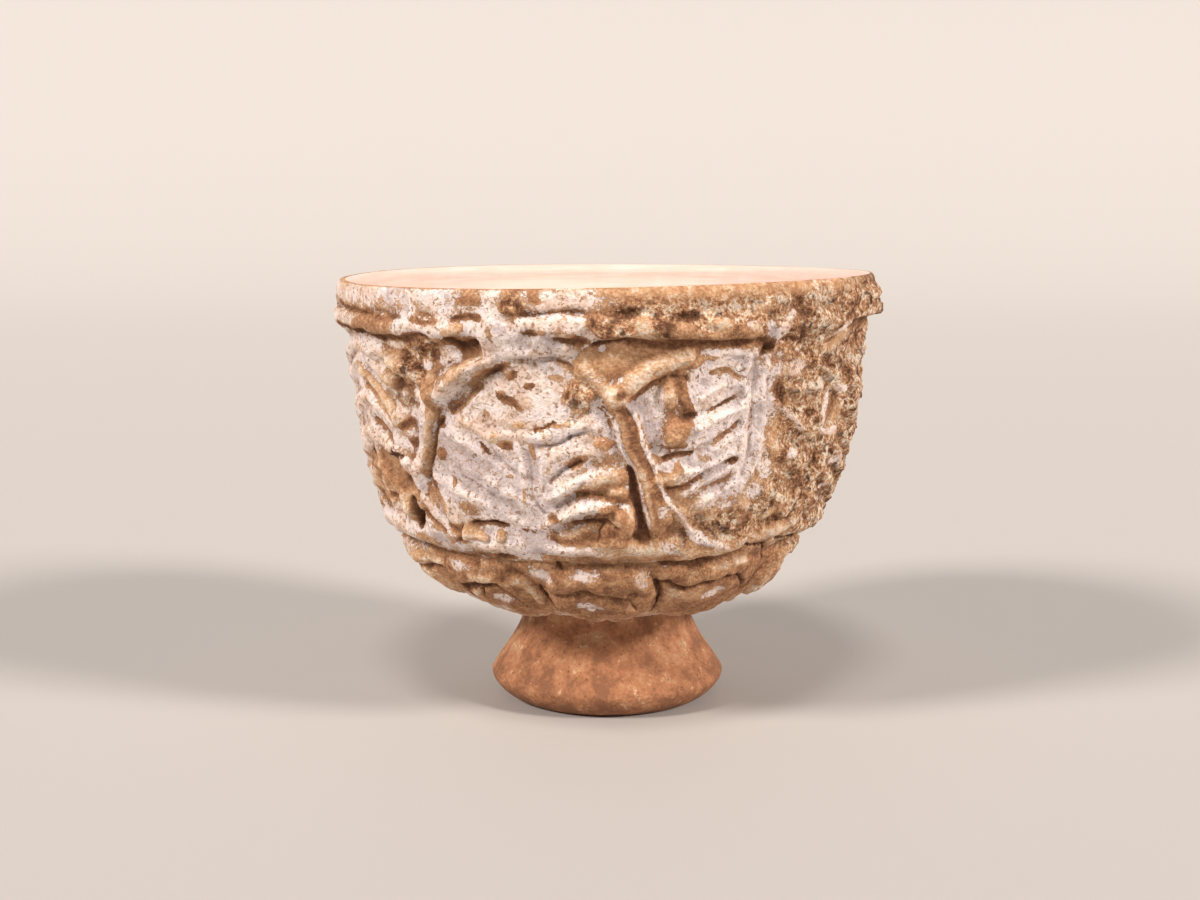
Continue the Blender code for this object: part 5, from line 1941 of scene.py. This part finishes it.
@dataclass
class WeatheredCup:
    """The cup as it is now, in one piece."""

    form: CupForm = field(default_factory=CupForm)
    front: Front = field(default_factory=Front)
    burial: Burial = field(default_factory=Burial)
    weathering: GroundWeathering = field(default_factory=GroundWeathering)
    # How uneven the regular relief and the marks are, in place and, by these shares, in height
    relief_sway: Sway = Sway(11, 0.12, 0.42)
    relief_wobble: Wobble = Wobble(15, 6.0 * MM)
    relief_change: float = 0.1
    mark_sway: Sway = Sway(21, 0.08, 0.3)
    mark_wobble: Wobble = Wobble(16, 4.0 * MM)
    mark_change: float = 0.15
    # Columns of points: close together within this angle of the front, and wider apart behind
    front_half_angle: float = 100.0
    front_steps: int = 560
    back_steps: int = 264
    kept_triangles: int = 194000
    clear_of_box: float = 0.03 * MM
    # The crust's bias where there is none, and the worn line along the lip's crest
    bare: float = -1.4
    crest_half_width: float = 0.9 * MM
    crest_drop: float = 1.0 * MM
    crest_crust: float = 1.35
    # The share of the foot's height over which it is painted darker towards the bottom, as shade
    foot_shade_share: float = 0.6

    def surface(self, outline: Outline) -> Surface:
        """Turns the outline.

        Args:
            outline: The cup's outline.

        Returns:
            Where every point lies, row by row down the outline.
        """
        edge = self.front_half_angle
        turn = np.concatenate([np.linspace(-edge, edge, self.front_steps, endpoint=False),
                               np.linspace(edge, 360.0 - edge, self.back_steps, endpoint=False)])
        shape = (len(outline.points), len(turn))
        runs = np.linalg.norm(np.diff(outline.points, axis=0), axis=1)
        reach = -np.concatenate([[0.0], np.cumsum(runs)])
        grids = (turn, outline.points[:, :1], outline.points[:, 1:], reach[:, None])
        return Surface(*(np.broadcast_to(grid, shape) for grid in grids))

    def relief(self, wall: Surface) -> Array:
        """Carves the wall.

        Args:
            wall: The wall before carving.

        Returns:
            How far every point of it stands out.
        """
        swayed = self.relief_sway.moved(wall)
        left = self.front.relief_left(wall)
        raised = np.maximum(Arcade(self.form).relief(swayed) * left, PetalRing(self.form).relief(wall))
        bands = Cordons(self.form).relief(swayed) * left
        relief = np.where(np.abs(bands) > np.abs(raised), bands, raised)
        relief *= 1.0 + self.relief_change * self.relief_wobble.at(wall)
        ragged = self.mark_sway.moved(wall)
        own = sum(mark.relief(ragged) for mark in self.front.marks if mark.lift)
        return relief + own * (1.0 + self.mark_change * self.mark_wobble.at(wall))

    def places(self, outline: Outline, whole: Surface, wall_relief: Array) -> Array:
        """Carves the turned form, and stands it as unlevel and uneven as the hand left it.

        Args:
            outline: The cup's outline.
            whole: The turned form before carving.
            wall_relief: How far each point of the carved wall stands out.

        Returns:
            The place of every point, ring by ring.
        """
        relief = np.zeros(whole.angle.shape)
        relief[outline.carved] = wall_relief
        relief[outline.lip] = wall_relief[0] * np.linspace(0.0, 1.0, outline.lip.sum())[:, None]
        along = np.gradient(outline.points, axis=0)
        normals = np.stack([-along[:, 1], along[:, 0]], axis=1)
        normals /= np.linalg.norm(normals, axis=1)[:, None]
        radius = whole.radius + relief * normals[:, :1]
        height = whole.height + relief * normals[:, 1:] + self.form.hand_rise(whole.angle, whole.height)
        turned = np.radians(whole.angle)
        x = radius * np.sin(turned) - self.form.hand_shift(whole.height)
        return np.stack([x, -radius * np.cos(turned), height], axis=2)

    def attributes(self, outline: Outline, wall: Surface, wall_relief: Array) -> dict[str, Array]:
        """What the ground did at every point of the cup.

        Args:
            outline: The cup's outline.
            wall: The carved part of the turned form.
            wall_relief: How far each point of it stands out.

        Returns:
            A grid for each attribute that the weathering and the finishes read.
        """
        shape = (len(outline.points), wall.angle.shape[1])
        on_wall = self.burial.attributes(wall, self.mark_sway.moved(wall), wall_relief, self.front)
        attributes = {key: np.zeros(shape) for key in on_wall}
        attributes["chance"][:] = 1.0
        # The foot is painted darker towards its bottom: painted shade
        low = smoothstep(self.form.foot_height * self.foot_shade_share, 0.0, outline.points[:, 1])
        attributes["tone"][:] = np.where(outline.zones == Zone.FOOT, -low, 0.0)[:, None]
        attributes["crust_bias"][outline.zones != Zone.GLAZED] = self.bare
        for key, grid in on_wall.items():
            attributes[key][outline.carved] = grid
            attributes[key][outline.lip] = grid[0]
        from_crest = np.abs(outline.points[:, 0] - (self.form.rim_radius - self.form.lip_outer_round))
        line = ridge(from_crest, self.crest_half_width, self.crest_crust)
        line *= outline.points[:, 1] > self.form.lip_z - self.crest_drop
        attributes["crust_bias"] += line[:, None]
        outside = np.where(outline.zones == Zone.GLAZED, 1.0, 0.0)
        outside[outline.lip] = np.linspace(0.0, 1.0, outline.lip.sum())
        attributes["outside"] = np.broadcast_to(outside[:, None], shape)
        return attributes

    def shape(self, name: str) -> bpy.types.Object:
        """Turns and carves the cup, and stores what the ground did to it.

        Args:
            name: The piece's name.

        Returns:
            The cup as one closed mesh, with its attributes.
        """
        outline = self.form.outline()
        whole = self.surface(outline)
        wall = whole.rows(outline.carved)
        wall_relief = self.relief(wall)
        return self.mesh(name, self.places(outline, whole, wall_relief), outline.zones,
                         self.attributes(outline, wall, wall_relief))

    def mesh(self, name: str, grid: Array, zones: Array, attributes: dict[str, Array]) -> bpy.types.Object:
        """Makes the closed mesh from rings of points and the two poles.

        Args:
            name: The piece's name.
            grid: The place of every point, ring by ring.
            zones: The finish of each ring.
            attributes: A value for every point, by name.

        Returns:
            The object.
        """
        rows, steps = grid.shape[:2]
        rings = rows - 2
        points = np.vstack([grid[0].mean(axis=0)[None], grid[1:-1].reshape(-1, 3),
                            grid[-1].mean(axis=0)[None]])
        here = np.arange(steps)
        after = (here + 1) % steps
        first = 1 + (np.arange(rings - 1) * steps)[:, None]
        quads = np.stack([first + here, first + after, first + steps + after, first + steps + here],
                         axis=2).reshape(-1, 4)
        last = 1 + (rings - 1) * steps
        top = np.stack([np.zeros(steps, int), 1 + after, 1 + here], axis=1)
        bottom = np.stack([np.full(steps, len(points) - 1), last + here, last + after], axis=1)
        faces = top.tolist() + quads.tolist() + bottom.tolist()
        mesh = bpy.data.meshes.new(name)
        mesh.from_pydata(points.tolist(), [], faces)
        face_zones = np.concatenate([np.full(steps, zones[1]), np.repeat(zones[2:-1], steps),
                                     np.full(steps, zones[-2])])
        zone = mesh.attributes.new("zone", "INT", "FACE")
        zone.data.foreach_set("value", face_zones.astype(np.int32))
        for key, values in attributes.items():
            flat = np.concatenate([[values[0].mean()], values[1:-1].ravel(), [values[-1].mean()]])
            stored = mesh.attributes.new(key, "FLOAT", "POINT")
            stored.data.foreach_set("value", flat.astype(np.float32))
        mesh.shade_smooth()
        return added(name, mesh)

    def bake(self, cup: bpy.types.Object) -> None:
        """Gives the cup the mesh that its modifiers make, and takes them off.

        Args:
            cup: The cup, with its modifiers.
        """
        bpy.context.view_layer.update()
        graph = bpy.context.evaluated_depsgraph_get()
        before = cup.data
        baked = bpy.data.meshes.new_from_object(cup.evaluated_get(graph))
        cup.modifiers.clear()
        cup.data = baked
        bpy.data.meshes.remove(before)

    def keep_in_box(self, cup: bpy.types.Object) -> None:
        """Holds every point within the solid's box, and the standing ring on the floor.

        Args:
            cup: The cup.
        """
        place = np.zeros(len(cup.data.vertices) * 3)
        cup.data.vertices.foreach_get("co", place)
        place = place.reshape(-1, 3)
        low = np.array(CAD_LOW) + self.clear_of_box
        high = np.array(CAD_HIGH) - self.clear_of_box
        low[2] = CAD_LOW.z
        place = np.clip(place, low, high)
        cup.data.vertices.foreach_set("co", place.ravel())
        cup.data.update()

    def build(self) -> bpy.types.Object:
        """Shapes, weathers and dresses the cup.

        Returns:
            The finished piece, which stands for the solid cup.
        """
        cup = self.shape("weathered_cup")
        LOG.info("carved %s: %d points", cup.name, len(cup.data.vertices))
        finishes = {Zone.GLAZED: WeatheredGlaze().material(), Zone.INSIDE: ChalkyInside().material(),
                    Zone.FOOT: BareEarthenware().material()}
        self.weathering.lay_on(cup, finishes)
        self.bake(cup)
        triangles = sum(len(face.vertices) - 2 for face in cup.data.polygons)
        lighten = cup.modifiers.new("Lighten", "DECIMATE")
        lighten.ratio = self.kept_triangles / triangles
        self.bake(cup)
        self.keep_in_box(cup)
        cup.data.shade_smooth()
        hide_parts("cup")
        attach(cup, "root")
        LOG.info("weathered %s: %d of %d triangles", cup.name, len(cup.data.polygons), triangles)
        return cup


@dataclass(frozen=True)
class Lamp:
    """A far soft light.

    Attributes:
        name: Its name.
        turn: Where it stands, in degrees round the cup from the front, to the right.
        rise: How high it stands, in degrees above the floor.
        strength: Its light on a surface that faces it, in watts for each square metre.
        colour: Its sRGB colour.
        width: How wide it looks from the cup, in degrees.
    """

    name: str
    turn: float
    rise: float
    strength: float
    colour: str
    width: float = 12.0

    def hang(self) -> None:
        """Adds it to the scene."""
        data = bpy.data.lights.new(self.name, "SUN")
        data.energy = self.strength
        data.angle = math.radians(self.width)
        data.color = linear_colour(self.colour)[:3]
        lamp = added(self.name, data)
        lamp.rotation_euler = (math.radians(90.0 - self.rise), 0.0, math.radians(self.turn))


@dataclass
class Studio:
    """A plain pale floor, soft lights and the photograph's view."""

    sweep_half_width: float = 5.0
    sweep_front: float = -3.0
    sweep_back: float = 2.4
    sweep_bend: float = 1.2
    sweep_bend_points: int = 24
    sweep_top: float = 4.0
    floor_colour: str = "#B4B1AE"
    floor_roughness: float = 0.7
    surround_colour: str = "#E9E7E4"
    surround_strength: float = 0.22
    camera_place: tuple[float, float, float] = (-0.0016, -0.3735, 0.1100)
    camera_tilt: float = 8.44
    lens: float = 51.0
    sensor_width: float = 36.0
    lamps: tuple[Lamp, ...] = (
        Lamp("left", -58.0, 35.0, 2.9, "#FFF4EC"),
        Lamp("right", 62.0, 30.0, 3.0, "#FFF4EC"),
        Lamp("top", -10.0, 65.0, 1.1, "#FFF6F0"),
    )

    def floor(self) -> None:
        """Lays the floor, which bends up into a backdrop far behind the cup."""
        turns = np.linspace(0.0, math.pi / 2, self.sweep_bend_points)
        line = [(self.sweep_front, 0.0)]
        line += [(self.sweep_back - self.sweep_bend * (1.0 - math.sin(a)),
                  self.sweep_bend * (1.0 - math.cos(a))) for a in turns]
        line += [(self.sweep_back, self.sweep_top)]
        points = [(side * self.sweep_half_width, y, z) for y, z in line for side in (-1, 1)]
        faces = [(2 * i, 2 * i + 1, 2 * i + 3, 2 * i + 2) for i in range(len(line) - 1)]
        mesh = bpy.data.meshes.new("studio_floor")
        mesh.from_pydata(points, [], faces)
        mesh.shade_smooth()
        material = bpy.data.materials.new("pale_painted_board")
        material.use_nodes = True
        shader = material.node_tree.nodes["Principled BSDF"]
        shader.inputs["Base Color"].default_value = linear_colour(self.floor_colour)
        shader.inputs["Roughness"].default_value = self.floor_roughness
        mesh.materials.append(material)
        added("studio_floor", mesh)

    def world(self) -> None:
        """A pale, even surround."""
        world = bpy.data.worlds.new("pale_surround")
        bpy.context.scene.world = world
        world.use_nodes = True
        background = world.node_tree.nodes["Background"]
        background.inputs["Color"].default_value = linear_colour(self.surround_colour)
        background.inputs["Strength"].default_value = self.surround_strength

    def camera(self) -> None:
        """Sets up the camera at the photograph's viewing angle."""
        data = bpy.data.cameras.new("photograph_view")
        data.lens = self.lens
        data.sensor_width = self.sensor_width
        camera = added("photograph_view", data)
        camera.location = self.camera_place
        camera.rotation_euler = (math.radians(90.0 - self.camera_tilt), 0.0, 0.0)
        bpy.context.scene.camera = camera

    def build(self) -> None:
        """Sets up the whole studio."""
        self.floor()
        for lamp in self.lamps:
            lamp.hang()
        self.world()
        self.camera()
        bpy.context.scene.view_settings.view_transform = "Standard"


def main() -> None:
    """Builds the cup and the studio in order."""
    logging.basicConfig(level=logging.INFO)
    Studio().build()
    LOG.info("studio is up")
    WeatheredCup().build()


if __name__ == "__main__":
    main()
